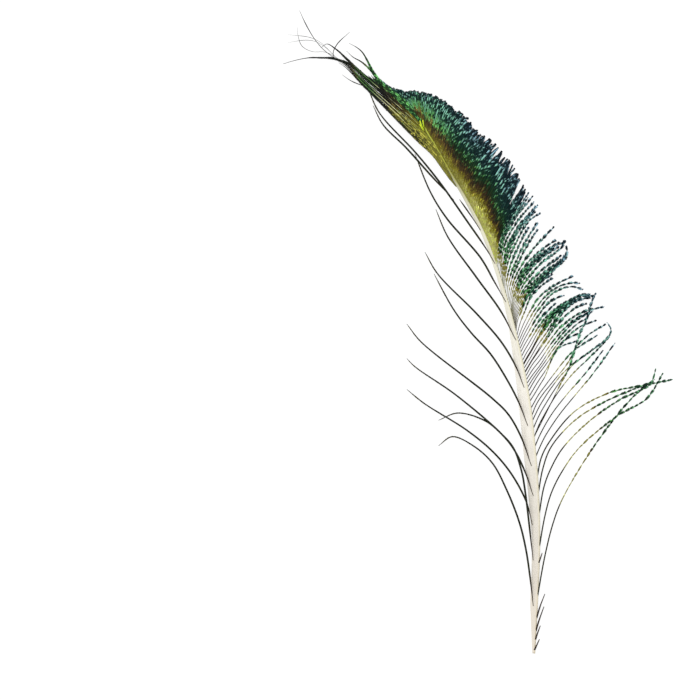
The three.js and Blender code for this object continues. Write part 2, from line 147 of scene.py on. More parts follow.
def mesh_piece(name, points, faces, values, smooth_faces, bake_map, material):
    """One mesh object, in millimetres from the cut end, of joined arrays: corner points, triangles,
    named values on the points, and a flat map of a place for each corner point."""
    mesh = bpy.data.meshes.new(name)
    mesh.vertices.add(len(points))
    mesh.vertices.foreach_set("co", (CUT_END + points * MM).astype(np.float32).ravel())
    mesh.loops.add(faces.size)
    mesh.loops.foreach_set("vertex_index", faces.astype(np.int32).ravel())
    mesh.polygons.add(len(faces))
    mesh.polygons.foreach_set("loop_start", np.arange(0, faces.size, 3, dtype=np.int32))
    mesh.polygons.foreach_set("use_smooth", smooth_faces)
    mesh.update(calc_edges=True)
    for label, value in values.items():
        layer = mesh.attributes.new(label, "FLOAT", "POINT")
        layer.data.foreach_set("value", value.astype(np.float32))
    layer = mesh.uv_layers.new(name="OFBake")
    layer.uv.foreach_set("vector", bake_map[faces.ravel()].astype(np.float32).ravel())
    mesh.materials.append(material)
    piece = bpy.data.objects.new(name, mesh)
    bpy.context.scene.collection.objects.link(piece)
    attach(piece, "root")
    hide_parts("feather")
    return piece


def tint(red, green, blue):
    """A screen colour from 0 to 255 as the light that it stands for."""
    share = np.array([red, green, blue]) / 255
    light = np.where(share <= 0.04045, share / 12.92, ((share + 0.055) / 1.055) ** 2.4)
    return (*light, 1.0)


def ramp(tree, source, stops):
    """A ramp of colours over a value, from (place, colour) stops."""
    node = tree.nodes.new("ShaderNodeValToRGB")
    spread = node.color_ramp.elements
    for extra in range(len(stops) - 2):
        spread.new(0.5)
    for element, (place, colour) in zip(spread, stops):
        element.position = place
        element.color = colour
    tree.links.new(source, node.inputs["Fac"])
    return node.outputs["Color"]


def read(tree, label):
    """The value of that name on the surface's points."""
    node = tree.nodes.new("ShaderNodeAttribute")
    node.attribute_name = label
    return node.outputs["Fac"]


def blend_colours(tree, share, first, second):
    """Two colours mixed by a share."""
    node = tree.nodes.new("ShaderNodeMix")
    node.data_type = "RGBA"
    for socket, source in (("Factor", share), ("A", first), ("B", second)):
        place = [s for s in node.inputs if s.name == socket and s.type in ("RGBA", "VALUE")]
        place = place[0] if socket == "Factor" else [s for s in place if s.type == "RGBA"][0]
        if isinstance(source, bpy.types.NodeSocket):
            tree.links.new(source, place)
        else:
            place.default_value = source
    return [s for s in node.outputs if s.type == "RGBA"][0]


def reckon(tree, way, *terms):
    """One Math node on sockets or numbers."""
    node = tree.nodes.new("ShaderNodeMath")
    node.operation = way
    for socket, source in zip(node.inputs, terms):
        if isinstance(source, bpy.types.NodeSocket):
            tree.links.new(source, socket)
        else:
            socket.default_value = source
    return node.outputs["Value"]


def new_material(name):
    """A material of one Principled shader, its node tree and that shader."""
    material = bpy.data.materials.new(name)
    material.use_nodes = True
    shader = material.node_tree.nodes["Principled BSDF"]
    return material, material.node_tree, shader


def streaks(tree, along, around, fine, detail):
    """Fine lines that run lengthwise: noise over the places along and around, each times its own
    fineness, so that it is drawn out along."""
    place = tree.nodes.new("ShaderNodeCombineXYZ")
    tree.links.new(reckon(tree, "MULTIPLY", along, fine[0]), place.inputs["X"])
    tree.links.new(reckon(tree, "MULTIPLY", around, fine[1]), place.inputs["Y"])
    noise = tree.nodes.new("ShaderNodeTexNoise")
    noise.inputs["Scale"].default_value = 1
    noise.inputs["Detail"].default_value = detail
    noise.inputs["Roughness"].default_value = 0.6
    tree.links.new(place.outputs["Vector"], noise.inputs["Vector"])
    return noise.outputs["Fac"]


def shaft_keratin():
    """Ivory along the rib, greyer with fine mauve streaks on the flank, and yellow-green where
    the shaft runs out into the vane's tip."""
    material, tree, shader = new_material("shaft_keratin")
    along, around, flank = (read(tree, label) for label in ("along", "around", "flank"))
    rib = ramp(tree, along, [
        (0.0, tint(200, 187, 160)), (0.14, tint(217, 208, 187)), (0.55, tint(222, 217, 192)),
        (0.8, tint(218, 214, 184)), (0.9, tint(150, 150, 30)), (0.985, tint(168, 176, 40)),
    ])
    side = ramp(tree, along, [
        (0.0, tint(214, 205, 190)), (0.2, tint(218, 212, 201)), (0.5, tint(232, 228, 218)),
        (0.8, tint(226, 224, 200)), (0.93, tint(110, 110, 40)), (1.0, tint(150, 160, 40)),
    ])
    base = blend_colours(tree, flank, rib, side)
    base = blend_colours(tree, read(tree, "barbed"), base, tint(104, 96, 62))
    lines = streaks(tree, along, around, STREAK_FINENESS, 6)
    marked = reckon(tree, "MULTIPLY", ramp(tree, lines, [
        (0.46, (0, 0, 0, 1)), (0.72, (1, 1, 1, 1)),
    ]), reckon(tree, "MULTIPLY_ADD", flank, MORE_ON_FLANK, STREAKS_ON_RIB))
    tree.links.new(blend_colours(tree, marked, base, tint(188, 181, 170)), shader.inputs["Base Color"])
    bump = tree.nodes.new("ShaderNodeBump")
    bump.inputs["Strength"].default_value = GROOVE_STRENGTH
    bump.inputs["Distance"].default_value = GROOVE_DEPTH * MM
    tree.links.new(streaks(tree, along, around, GROOVE_FINENESS, 3), bump.inputs["Height"])
    tree.links.new(bump.outputs["Normal"], shader.inputs["Normal"])
    dull = reckon(tree, "MULTIPLY_ADD", lines, STREAKS_ROUGHER, KERATIN_ROUGHNESS)
    tree.links.new(dull, shader.inputs["Roughness"])
    shader.inputs["Specular IOR Level"].default_value = 0.45
    return material


def shaft_surface():
    """Rings along the line: each is the section's outline scaled by the reaches and the height
    there, closed by a cap of triangles at both ends."""
    outline = np.array(SECTION_TOP + SECTION_UNDER + SECTION_TOP[:1])
    outline = spaced(course(outline, SHAFT_AROUND * 4), SHAFT_AROUND + 1)[:-1][::-1]
    left, right, height, lift = (size[:, None] for size in shaft_sizes(SHAFT_RUN))
    across = np.where(outline[:, 0] < 0, outline[:, 0] * left, outline[:, 0] * right)
    level = SHAFT[:, None, :] + SHAFT_RIGHT[:, None, :] * across[..., None]
    up = lift + height * np.clip(outline[:, 1], 0, 1)
    points = np.concatenate([level, up[..., None]], axis=2).reshape(-1, 3)
    along = np.repeat(SHAFT_RUN / SHAFT_RUN[-1], SHAFT_AROUND)
    around = np.tile(np.arange(SHAFT_AROUND) / SHAFT_AROUND, SHAFT_RINGS)
    flank = np.tile(smooth(-outline[:, 0], *FLANK_EDGE), SHAFT_RINGS)
    barbed = np.tile(BARBED_TINT * smooth(outline[:, 0], *BARBED_EDGE), SHAFT_RINGS)
    barbed = barbed * smooth(along, *BARBED_START)
    return points, dict(along=along, around=around, flank=flank, barbed=barbed)


def tube_faces(rings, around, first=0):
    """Triangles that join each ring of points to the next, and a fan over each end."""
    ring = np.arange(rings - 1)[:, None] * around
    here = np.arange(around)[None, :]
    beside = (here + 1) % around
    a, b, c, d = ring + here, ring + beside, ring + around + here, ring + around + beside
    wall = np.concatenate([np.stack([a, c, b], -1), np.stack([b, c, d], -1)]).reshape(-1, 3)
    fan = np.arange(1, around - 1)
    start = np.column_stack([np.zeros_like(fan), fan, fan + 1])
    end = np.column_stack([np.zeros_like(fan), fan + 1, fan]) + (rings - 1) * around
    return np.concatenate([wall, start, end]) + first


shaft_points, shaft_values = shaft_surface()
shaft_faces = tube_faces(SHAFT_RINGS, SHAFT_AROUND)
shaft = mesh_piece(
    "shaft", shaft_points, shaft_faces, shaft_values, np.ones(len(shaft_faces), bool),
    np.column_stack([shaft_values["around"], shaft_values["along"]]), shaft_keratin(),
)


# The close vane
# About a hundred barbs side by side, each a stalk with two rows of flat, shimmering barbules.
# They cling together by their barbules, and the ribbons rock from side to side. Their glints are
# painted into the colour as random bright spots along each barb, with painted shade between them.
GROWTH = np.random.default_rng(11)
# Share of the shaft's height at which a barb leaves it
ROOT_SHARE = 0.4
STALK_SIDES, FEWEST_RINGS = 5, 4
STALK_STEP = 0.7
BARBULE_SLANT = math.radians(42)
# A barbule's thickness, and the share of its reach at which it is that thick
BARBULE_THICK, THICKEST_AT = 0.09, 0.2
BARBULE_DROOP = 0.12
BARBULE_OVERLAP = 2.1
SHORTEST_BARBULE = 0.06
VANE_BARBULE_SPACING, LOOSE_BARBULE_SPACING = 0.25, 0.26
# How far a barbule is out of its even place, as a share of the spacing, and how lengths vary
BARBULE_STRAYS, BARBULE_LENGTHS = 0.3, (0.85, 1.1)
# In each barb's strip of the flat map: where the stalk and each row of barbules start and how wide
# they are, a barbule's half width and where its ridge lies, and the margin at both ends
STALK_START, STALK_WIDTH = 0.4, 0.2
ROW_STARTS, ROW_WIDTHS = np.array([0.64, 0.36]), np.array([0.34, -0.34])
MAPPED_HALF, MAPPED_RIDGE, MAP_MARGIN = 0.45, 0.3, 0.01
# How far below and above the level a glint fades in
FADE_BELOW, FADE_ABOVE = 0.1, 0.25
# Painted glint strengths between which a barbule turns dusky with painted shade
UNLIT = (0.3, 0.1)
BARBULE_ROUGHNESS, STALK_ROUGHER, GLINT_SMOOTHER = 0.45, 0.2, 0.16

# The place on the floor under the camera, and the camera's height
VIEW_MIDDLE = (-101.2, 166.65)
VIEW_DISTANCE = 909

# Ribs of the vane, each from the shaft to the outer edge, tip end last
VANE_RIBS = [
    [(-19, 207), (-18.5, 214), (-18, 221.5), (-16, 229), (-12.5, 235), (-9, 241), (-0.5, 251.5)],
    [(-22, 214.5), (-21.5, 221.5), (-20, 229), (-17, 235.5), (-12, 243.5), (-5.5, 256)],
    [(-26, 224.5), (-25, 232), (-22.5, 239.5), (-19, 246.5), (-15, 253.5), (-9, 263)],
    [(-29.5, 234.5), (-28.5, 241.5), (-26, 248.5), (-22.5, 255.5), (-18.5, 262.5), (-14, 271)],
    [(-34, 243.5), (-32.5, 252), (-29.5, 258.5), (-26.5, 265), (-22.5, 271), (-18, 276.5)],
    [(-39, 253), (-37, 262), (-34.5, 268), (-31.5, 274), (-27.5, 278.5), (-24, 282)],
    [(-43.5, 261), (-42, 270), (-39.5, 276), (-37, 281.5), (-34.4, 286.6), (-32.9, 289.2)],
    [(-48, 268.5), (-46, 278.5), (-44.5, 284), (-42, 289.5), (-39, 293), (-37, 295)],
    [(-52.9, 275.8), (-50.7, 284.5), (-49, 290), (-47, 295.5), (-44.3, 299.6)],
    [(-56.8, 282.2), (-55.3, 290), (-54, 295.5), (-52.5, 300.5), (-50.8, 304.6)],
    [(-59.4, 287.2), (-59.5, 294), (-59.5, 299), (-59, 303.5), (-58.4, 307.6)],
    [(-60.8, 291.5), (-63, 297), (-65, 301.5), (-66, 305.5), (-66.6, 309.1)],
    [(-61.6, 292.6), (-66, 298.5), (-69.5, 303), (-72, 306.5), (-73.5, 309.5)],
    [(-62.2, 293.3), (-68.5, 300.5), (-75, 307), (-80.5, 312.5)],
    [(-62.4, 293), (-70.5, 301), (-79, 309), (-86, 316.5)],
]
GUIDE_STEPS = 40
VANE_EDGE_SPACING = 1.12
VANE_LOWEST = 0.72
EDGE_OVERRUN = 0.6
EDGE_SAMPLES = 600
# The arch's rise, the outer edge's height, and a lift that sets in close beside the shaft
VANE_RISE, VANE_EDGE_HEIGHT, VANE_LIFT = 2.6, 0.1, 0.6
VANE_LIFT_STARTS = (0, 0.12)
# Every second barb lies a little higher than its neighbours
SECOND_LIFT, SECOND_LIFT_STARTS = 0.25, (0.1, 0.4)
# Ribs over which the vane turns flatter and higher towards the tip
TIPWARD = (11, 14)
TIPWARD_LIFT = 2.2
TIPWARD_FLATTENING = 0.6
# Where the outer edge has parted: place among the ribs, width and depth of the gap
VANE_SPLITS = [
    (1.38, 0.26, 0.42), (2.4, 0.1, 0.14), (3.43, 0.13, 0.2), (4.15, 0.19, 0.3), (4.75, 0.07, 0.13),
    (5.15, 0.07, 0.13), (5.6, 0.04, 0.08), (6.1, 0.06, 0.1),
]
SPLIT_FADE = 0.3
# How deep the edge has parted into small locks: place among the ribs, share of the barbs' length
LOCK_DEPTHS = [(1, 0.12), (3, 0.2), (5, 0.2), (7, 0.1), (10, 0.06), (14, 0.05)]
# Chance that a barb begins a new lock, and how closely a lock's barbs draw together
LOCK_CHANCE, LOCK_CLOSENESS = 0.3, 0.4
LOCK_UNEVENNESS = (0.4, 1.2)
# At these ribs, the distances at which olive, copper and green end along a barb
ZONE_PLACES = (1, 3, 5, 9)
ZONE_ENDS = [(13, 10, 5, 1.2), (17, 16, 12, 7), (22, 21, 17, 11)]
# How much those distances vary from barb to barb, and the hue from barbule to barbule
ZONE_SCATTER, HUE_SCATTER = 1.0, 0.045
# The hues where the three end, then on to the outer edge, and how much less that is near the tip
ZONE_HUES = (0.17, 0.37, 0.5)
OUTER_HUES, TIPMOST_LESS = np.array([0.64, 0.8, 0.95]), np.array([0.04, 0.16, 0.2])
# By the place among the ribs: hue close to the shaft, and share of the length with painted glints
PALEST_HUES = [(1, 0.03), (4, 0.06), (8, 0.14)]
SPARKLES = [(1, 0.3), (5, 0.38), (8, 0.43)]
# The ribs between which the barbs turn tipmost in colour and get a strip of painted green glints
TIPMOST, EMERALD_STRIP = (5, 9), (6.8, 8.3)
# Pitch of the painted glints, and pitch and share of those in the strip
GLINT_PITCH, STRIP_PAINTED_GLINTS = 1.2, (1.5, 0.75)
STRIP_GLINTS = (0, 0.9, 0.8, 0)
# How strong the painted glints are at the root and where olive and copper end, then where
# green ends and how much more that is near the tip, and the distances from the outer edge over
# which they begin
VANE_GLINTS, GREEN_END_GLINT, TIPMOST_MORE, GLINT_BEGINS = (0.7, 0.6, 0.4), 0.55, 0.3, (0.5, 1.3)
# How old the stalk looks at the root, where copper and green end, and a little past that
VANE_AGES = (0.3, 0.55, 0.85, 1)
# How much of its painted shade a barbule has at the root and where olive and copper end
VANE_DUSKS = (0.1, 0.5, 1)
# Painted shade at the barbules' outer ends, a dark line between neighbouring barbs
RIM_DUSK = 0.8
# How much painted glint the right and the left row of barbules get, and how much painted shade
# between glints, most on the left row
LIT_ROWS, SHADED_ROWS = np.array([1, 0.3]), np.array([0.15, 0.7])
# Between these ribs the barbs lack more of their last steps than elsewhere
RAGGED_PLACES = (5.5, 7.5)
RAGGED_LACK, USUAL_LACK = (1, 4), (0, 3)
# The ribbons' steady lean and their swing, its wavelength, and the distances over which it sets in
VANE_LEAN, VANE_SWING = math.radians(10), math.radians(22)
VANE_TURN, SWING_STARTS = (3.6, 5.2), (2, 12)
# Length of a ribbon's rounded end, and the least and most room that it may fill
VANE_KNOB, LEAST_ROOM, MOST_ROOM = 0.9, 0.5, 2.2
# Share of its room that a ribbon fills at the edge, how much more from some ribs on, how much
# more a step inwards, the share in full, and the distances from the edge of that step and of full
EDGE_FILL, TIPWARD_FILL, FULLER = 0.8, 0.25, (4, 7)
STEP_FILL, FULL_FILL, FILL_PLACES = 0.15, 1.45, (0, 3, 9)
# A barb's radius at the root, how much thinner it ends, and its foot's swell and length
VANE_RADIUS, VANE_THINS, FOOT_SWELL, FOOT_LENGTH = 0.2, 0.1, 0.12, 1.5


def between(guides, place):
    """Points between neighbouring guide lines. A place counts the lines, its fraction is the
    share of the way to the next, and the points follow a cubic through four neighbours."""
    padded = np.concatenate([2 * guides[:1] - guides[1:2], guides, 2 * guides[-1:] - guides[-2:-1]])
    low = np.clip(np.floor(place).astype(int), 0, len(guides) - 2)
    u = (place - low)[..., None]
    step = np.arange(guides.shape[1])
    a, b, c, d = (padded[low + k, step] for k in range(4))
    return b + 0.5 * ((c - a) * u + (2 * a - 5 * b + 4 * c - d) * u ** 2
                      + (3 * b - a - 3 * c + d) * u ** 3)


def seen_at(level, height):
    """Level places moved towards the view's middle by their share of height to distance, so that
    the raised points are seen where the level ones are given."""
    return level - (level - np.array(VIEW_MIDDLE)) * (height / VIEW_DISTANCE)[..., None]


def beside_shaft(points):
    """For level points: the nearest ring of the shaft, and how far to its right they lie."""
    offset = points[:, None, :] - SHAFT[None, :, :]
    nearest = np.argmin((offset ** 2).sum(2), axis=1)
    across = (offset[np.arange(len(points)), nearest] * SHAFT_RIGHT[nearest]).sum(1)
    return nearest, across


def root_height(points):
    """Height at which a barb leaves the shaft's side, beside level points."""
    nearest, _ = beside_shaft(points)
    _, _, height, lift = shaft_sizes(SHAFT_RUN[nearest])
    return lift + ROOT_SHARE * height


def stalk(line, radius):
    """The corners of a barb's stalk: around each point of the line a ring, square to the line,
    at the radius there."""
    along, right = headings(line)
    up = np.cross(right, along)
    turn = 2 * math.pi * np.arange(STALK_SIDES) / STALK_SIDES
    ring = (np.cos(turn)[None, :, None] * right[:, None, :]
            + np.sin(turn)[None, :, None] * up[:, None, :])
    return (line[:, None, :] + ring * radius[:, None, None]).reshape(-1, 3)


def barbules(line, length, base, twist):
    """Two rows of barbules: on each side of the line one three-cornered blade for each point,
    slanted towards the barb's tip, in the plane that the twist turns about the line."""
    along, right = headings(line)
    up = np.cross(right, along)
    side = np.cos(twist)[:, None] * right + np.sin(twist)[:, None] * up
    face = np.cos(twist)[:, None] * up - np.sin(twist)[:, None] * right
    blades = []
    for hand in (1, -1):
        out = side * hand
        reach = length[:, None] * (math.cos(BARBULE_SLANT) * along + math.sin(BARBULE_SLANT) * out)
        wide = base[:, None] * along
        tip = line + reach - face * length[:, None] * BARBULE_DROOP
        blades.append(np.stack([
            line - wide, line + wide, line + face * BARBULE_THICK + reach * THICKEST_AT, tip,
        ], axis=1))
    return np.stack(blades, axis=1)


BLADE_FACES = np.array([(0, 1, 3), (1, 2, 3), (2, 0, 3), (0, 2, 1)])


def barb(line, lane, lanes, radius, reach, twist, spacing, values):
    """One barb: its stalk along the line and its barbules. radius, reach, twist and values are
    functions of the distance from the root and the share of the barb's length. Among the
    barbules' values, rim is the dusk at their outer ends: painted shade between neighbours in the
    vane and the comb, and the strands' own dark colour at the tip."""
    length = run_along(line)[-1]
    rings = max(int(length / STALK_STEP), FEWEST_RINGS)
    centre = spaced(line, rings)
    run = np.linspace(0, length, rings)
    share = run / length
    points = [stalk(centre, radius(run, share))]
    faces = [tube_faces(rings, STALK_SIDES)]
    marks = {label: np.repeat(mark, STALK_SIDES) for label, mark in values(run, share, None).items()}
    ring_place = np.tile(np.arange(STALK_SIDES) / STALK_SIDES, rings)
    spots = [np.column_stack([
        np.repeat(share, STALK_SIDES), STALK_START + STALK_WIDTH * ring_place,
    ])]
    soft = [np.ones(len(faces[0]), bool)]

    count = int(length / spacing)
    run = (np.arange(count) + GROWTH.uniform(-BARBULE_STRAYS, BARBULE_STRAYS, count)) * spacing
    grown = reach(run, run / length)
    run, grown = run[grown > SHORTEST_BARBULE], grown[grown > SHORTEST_BARBULE]
    if len(run) > 2:
        share = run / length
        at = np.column_stack([np.interp(share, np.linspace(0, 1, rings), axis) for axis in centre.T])
        turned = twist(run, share)
        blades = barbules(at, grown, np.full(len(run), spacing * BARBULE_OVERLAP), turned)
        points.append(blades.reshape(-1, 3))
        first = rings * STALK_SIDES + 4 * np.arange(2 * len(run)).reshape(-1, 2)
        right_hand = first[:, :1, None] + BLADE_FACES[None]
        left_hand = first[:, 1:, None] + BLADE_FACES[None, :, ::-1]
        faces.append(np.concatenate([right_hand.reshape(-1, 3), left_hand.reshape(-1, 3)]))
        soft.append(np.zeros(len(faces[1]), bool))
        marked = values(run, share, turned)
        rim = marked.pop("rim", 0 * run)
        for label, mark in marked.items():
            mark = np.broadcast_to(mark.reshape(len(run), -1), (len(run), 2))
            corners = np.repeat(mark[..., None], 4, axis=2)
            if label == "dusk":
                corners[..., 3] = np.maximum(corners[..., 3], rim[:, None])
            marks[label] = np.concatenate([marks[label], corners.ravel()])
        half = spacing / length * MAPPED_HALF
        corner = np.array([(-half, 0.0), (half, 0.0), (0, MAPPED_RIDGE), (half / 2, 1.0)])
        u = np.broadcast_to(share[:, None, None] + corner[None, None, :, 0], (len(run), 2, 4))
        v = ROW_STARTS[None, :, None] + ROW_WIDTHS[None, :, None] * corner[None, None, :, 1]
        spots.append(np.stack([u, np.broadcast_to(v, u.shape)], -1).reshape(-1, 2))
    spots = np.concatenate(spots)
    spots[:, 0] = MAP_MARGIN + (1 - 2 * MAP_MARGIN) * np.clip(spots[:, 0], 0, 1)
    spots[:, 1] = (lane + spots[:, 1]) / lanes
    return np.concatenate(points), np.concatenate(faces), marks, np.concatenate(soft), spots


def painted_glints(run, pitch, bright_share):
    """Painted glints along a barb for both rows of barbules: random strengths at a pitch, joined by
    straight lines, of which only the part above a level shows, so they are of uneven length."""
    knots = np.arange(int(run.max() / pitch) + 3)
    rows = [np.interp(run / pitch, knots, GROWTH.random(len(knots))) for row in range(2)]
    level = 1 - bright_share
    return smooth(np.column_stack(rows), level - FADE_BELOW, level + FADE_ABOVE)


def rounded(run, length, taper):
    """1 along a barb, and from 1 to 0 down a quarter circle over the taper at its end."""
    return np.sqrt(np.clip(1 - ((run - length + taper) / taper).clip(0) ** 2, 0, 1))


def at_place(place, table):
    """A value read off a table of (place, value) rows, on straight lines between them."""
    return np.interp(place, *np.array(table).T)


def join_barbs(name, barbs, material):
    """All the barbs of one piece in one mesh."""
    first = np.concatenate([[0], np.cumsum([len(b[0]) for b in barbs])])
    points = np.concatenate([b[0] for b in barbs])
    faces = np.concatenate([b[1] + start for b, start in zip(barbs, first)])
    values = {label: np.concatenate([b[2][label] for b in barbs]) for label in barbs[0][2]}
    soft = np.concatenate([b[3] for b in barbs])
    spots = np.concatenate([b[4] for b in barbs])
    piece = mesh_piece(name, points, faces, values, soft, spots, material)


def shimmer_group():
    """The barbs' shimmer as one group of nodes, painted into the colour. Body and painted glint
    colours follow the hue value, from olive by the shaft through copper and green to teal and navy;
    the stalk has its own, by age, and dusk darkens both: painted shade between glints and barbs,
    and the dark colour of dark barbs."""
    tree = bpy.data.node_groups.new("barb_shimmer", "ShaderNodeTree")
    for label in ("Hue", "Glint", "Stalk", "Age", "Dusk"):
        tree.interface.new_socket(label, in_out="INPUT", socket_type="NodeSocketFloat")
    tree.interface.new_socket("Colour", in_out="OUTPUT", socket_type="NodeSocketColor")
    tree.interface.new_socket("Roughness", in_out="OUTPUT", socket_type="NodeSocketFloat")
    given = tree.nodes.new("NodeGroupInput").outputs
    result = tree.nodes.new("NodeGroupOutput").inputs
    body = ramp(tree, given["Hue"], [
        (0.0, tint(214, 236, 60)), (0.04, tint(192, 188, 122)), (0.14, tint(136, 132, 26)),
        (0.27, tint(74, 52, 20)), (0.36, tint(44, 30, 18)), (0.46, tint(20, 66, 30)),
        (0.62, tint(10, 54, 50)), (0.8, tint(10, 38, 54)), (1.0, tint(10, 18, 30)),
    ])
    # Colours of the painted glints, by hue
    spark = ramp(tree, given["Hue"], [
        (0.0, tint(240, 255, 140)), (0.04, tint(224, 224, 158)), (0.14, tint(200, 194, 56)),
        (0.27, tint(148, 114, 46)), (0.36, tint(150, 140, 76)), (0.46, tint(124, 220, 112)),
        (0.62, tint(160, 240, 200)), (0.8, tint(168, 216, 234)), (1.0, tint(140, 190, 224)),
    ])
    leaf = blend_colours(tree, given["Glint"], body, spark)
    stem = ramp(tree, given["Age"], [
        (0.0, tint(228, 226, 176)), (0.15, tint(104, 154, 78)), (0.32, tint(112, 108, 56)),
        (0.55, tint(66, 56, 40)), (0.7, tint(44, 32, 22)), (0.85, tint(40, 44, 26)),
        (1.0, tint(14, 18, 14)),
    ])
    whole = blend_colours(tree, given["Stalk"], leaf, stem)
    tree.links.new(
        blend_colours(tree, given["Dusk"], whole, tint(6, 10, 10)), result["Colour"],
    )
    dull = reckon(tree, "MULTIPLY_ADD", given["Stalk"], STALK_ROUGHER, BARBULE_ROUGHNESS)
    dull = reckon(tree, "MULTIPLY_ADD", given["Glint"], -GLINT_SMOOTHER, dull)
    tree.links.new(dull, result["Roughness"])
    return tree


SHIMMER = shimmer_group()


def barb_material(name, metallic):
    """A material whose colour and roughness come from the shimmer group."""
    material, tree, shader = new_material(name)
    group = tree.nodes.new("ShaderNodeGroup")
    group.node_tree = SHIMMER
    for label in ("Hue", "Glint", "Stalk", "Age", "Dusk"):
        tree.links.new(read(tree, label.lower()), group.inputs[label])
    tree.links.new(group.outputs["Colour"], shader.inputs["Base Color"])
    tree.links.new(group.outputs["Roughness"], shader.inputs["Roughness"])
    shader.inputs["Metallic"].default_value = metallic
    shader.inputs["Specular IOR Level"].default_value = 0.15
    return material


def vane_place(count):
    """Places of the barbs among the ribs, evenly spaced along the vane's outer edge."""
    fine = np.linspace(VANE_LOWEST, len(VANE_RIBS) - 1, EDGE_SAMPLES)
    edge = between(RIBS, np.repeat(fine[:, None], GUIDE_STEPS, axis=1))[:, -1]
    run = run_along(edge)
    return np.interp(np.linspace(0, run[-1], count), run, fine), run[-1]


RIBS = np.array([course(rib, GUIDE_STEPS) for rib in VANE_RIBS])
edge_length = vane_place(2)[1]
barb_places, _ = vane_place(int(edge_length / VANE_EDGE_SPACING))
out = np.linspace(0, 1, GUIDE_STEPS)[None, :]
spread = barb_places[:, None] + 0 * out
# Each barb's room: its distance to its neighbours, square to its own course
unparted = between(RIBS, spread)
beside, onward = np.gradient(unparted, axis=0), np.gradient(unparted, axis=1)
barb_room = np.abs(beside[..., 0] * onward[..., 1] - beside[..., 1] * onward[..., 0])
barb_room = barb_room / np.linalg.norm(onward, axis=2)
# Neighbours draw together a little towards the edge, and part at the splits
lock_of = np.cumsum(GROWTH.random(len(barb_places)) < LOCK_CHANCE)
lock_middle = np.array([barb_places[lock_of == k].mean() for k in lock_of])[:, None]
lock_depth = at_place(barb_places, LOCK_DEPTHS)
lock_start = lock_depth * GROWTH.uniform(*LOCK_UNEVENNESS, len(barb_places))[lock_of]
lock_start = 1 - lock_start[:, None]
spread = spread + (lock_middle - spread) * LOCK_CLOSENESS * smooth(out, lock_start, 1)
for place, gap, depth in VANE_SPLITS:
    away = barb_places[:, None] - place
    push = gap * np.sign(away) * np.exp(-np.abs(away) / SPLIT_FADE)
    spread = spread + push * smooth(out, 1 - depth, 1)
spread = np.clip(spread, 0, len(VANE_RIBS) - 1.001)
vane_level = between(RIBS, spread)
# The barbs reach a little past the ribs' ends
last, before = vane_level[:, -1:], vane_level[:, -2:-1]
vane_level = np.concatenate([vane_level, last + EDGE_OVERRUN * (last - before)], axis=1)
out = np.linspace(0, 1, GUIDE_STEPS + 1)[None, :]
spread = np.concatenate([spread, spread[:, -1:]], axis=1)

tipward = smooth(spread, *TIPWARD)
rise = VANE_RISE * (1 - TIPWARD_FLATTENING * tipward)
roots = root_height(vane_level[:, 0])[:, None]
vane_height = (roots * (1 - out) + (VANE_EDGE_HEIGHT + tipward * TIPWARD_LIFT) * out
               + 4 * rise * out * (1 - out) + VANE_LIFT * smooth(out, *VANE_LIFT_STARTS))
every_second = (np.arange(len(barb_places)) % 2)[:, None]
vane_height = vane_height + SECOND_LIFT * every_second * smooth(out, *SECOND_LIFT_STARTS)
vane_lines = np.concatenate([seen_at(vane_level, vane_height), vane_height[..., None]], axis=2)


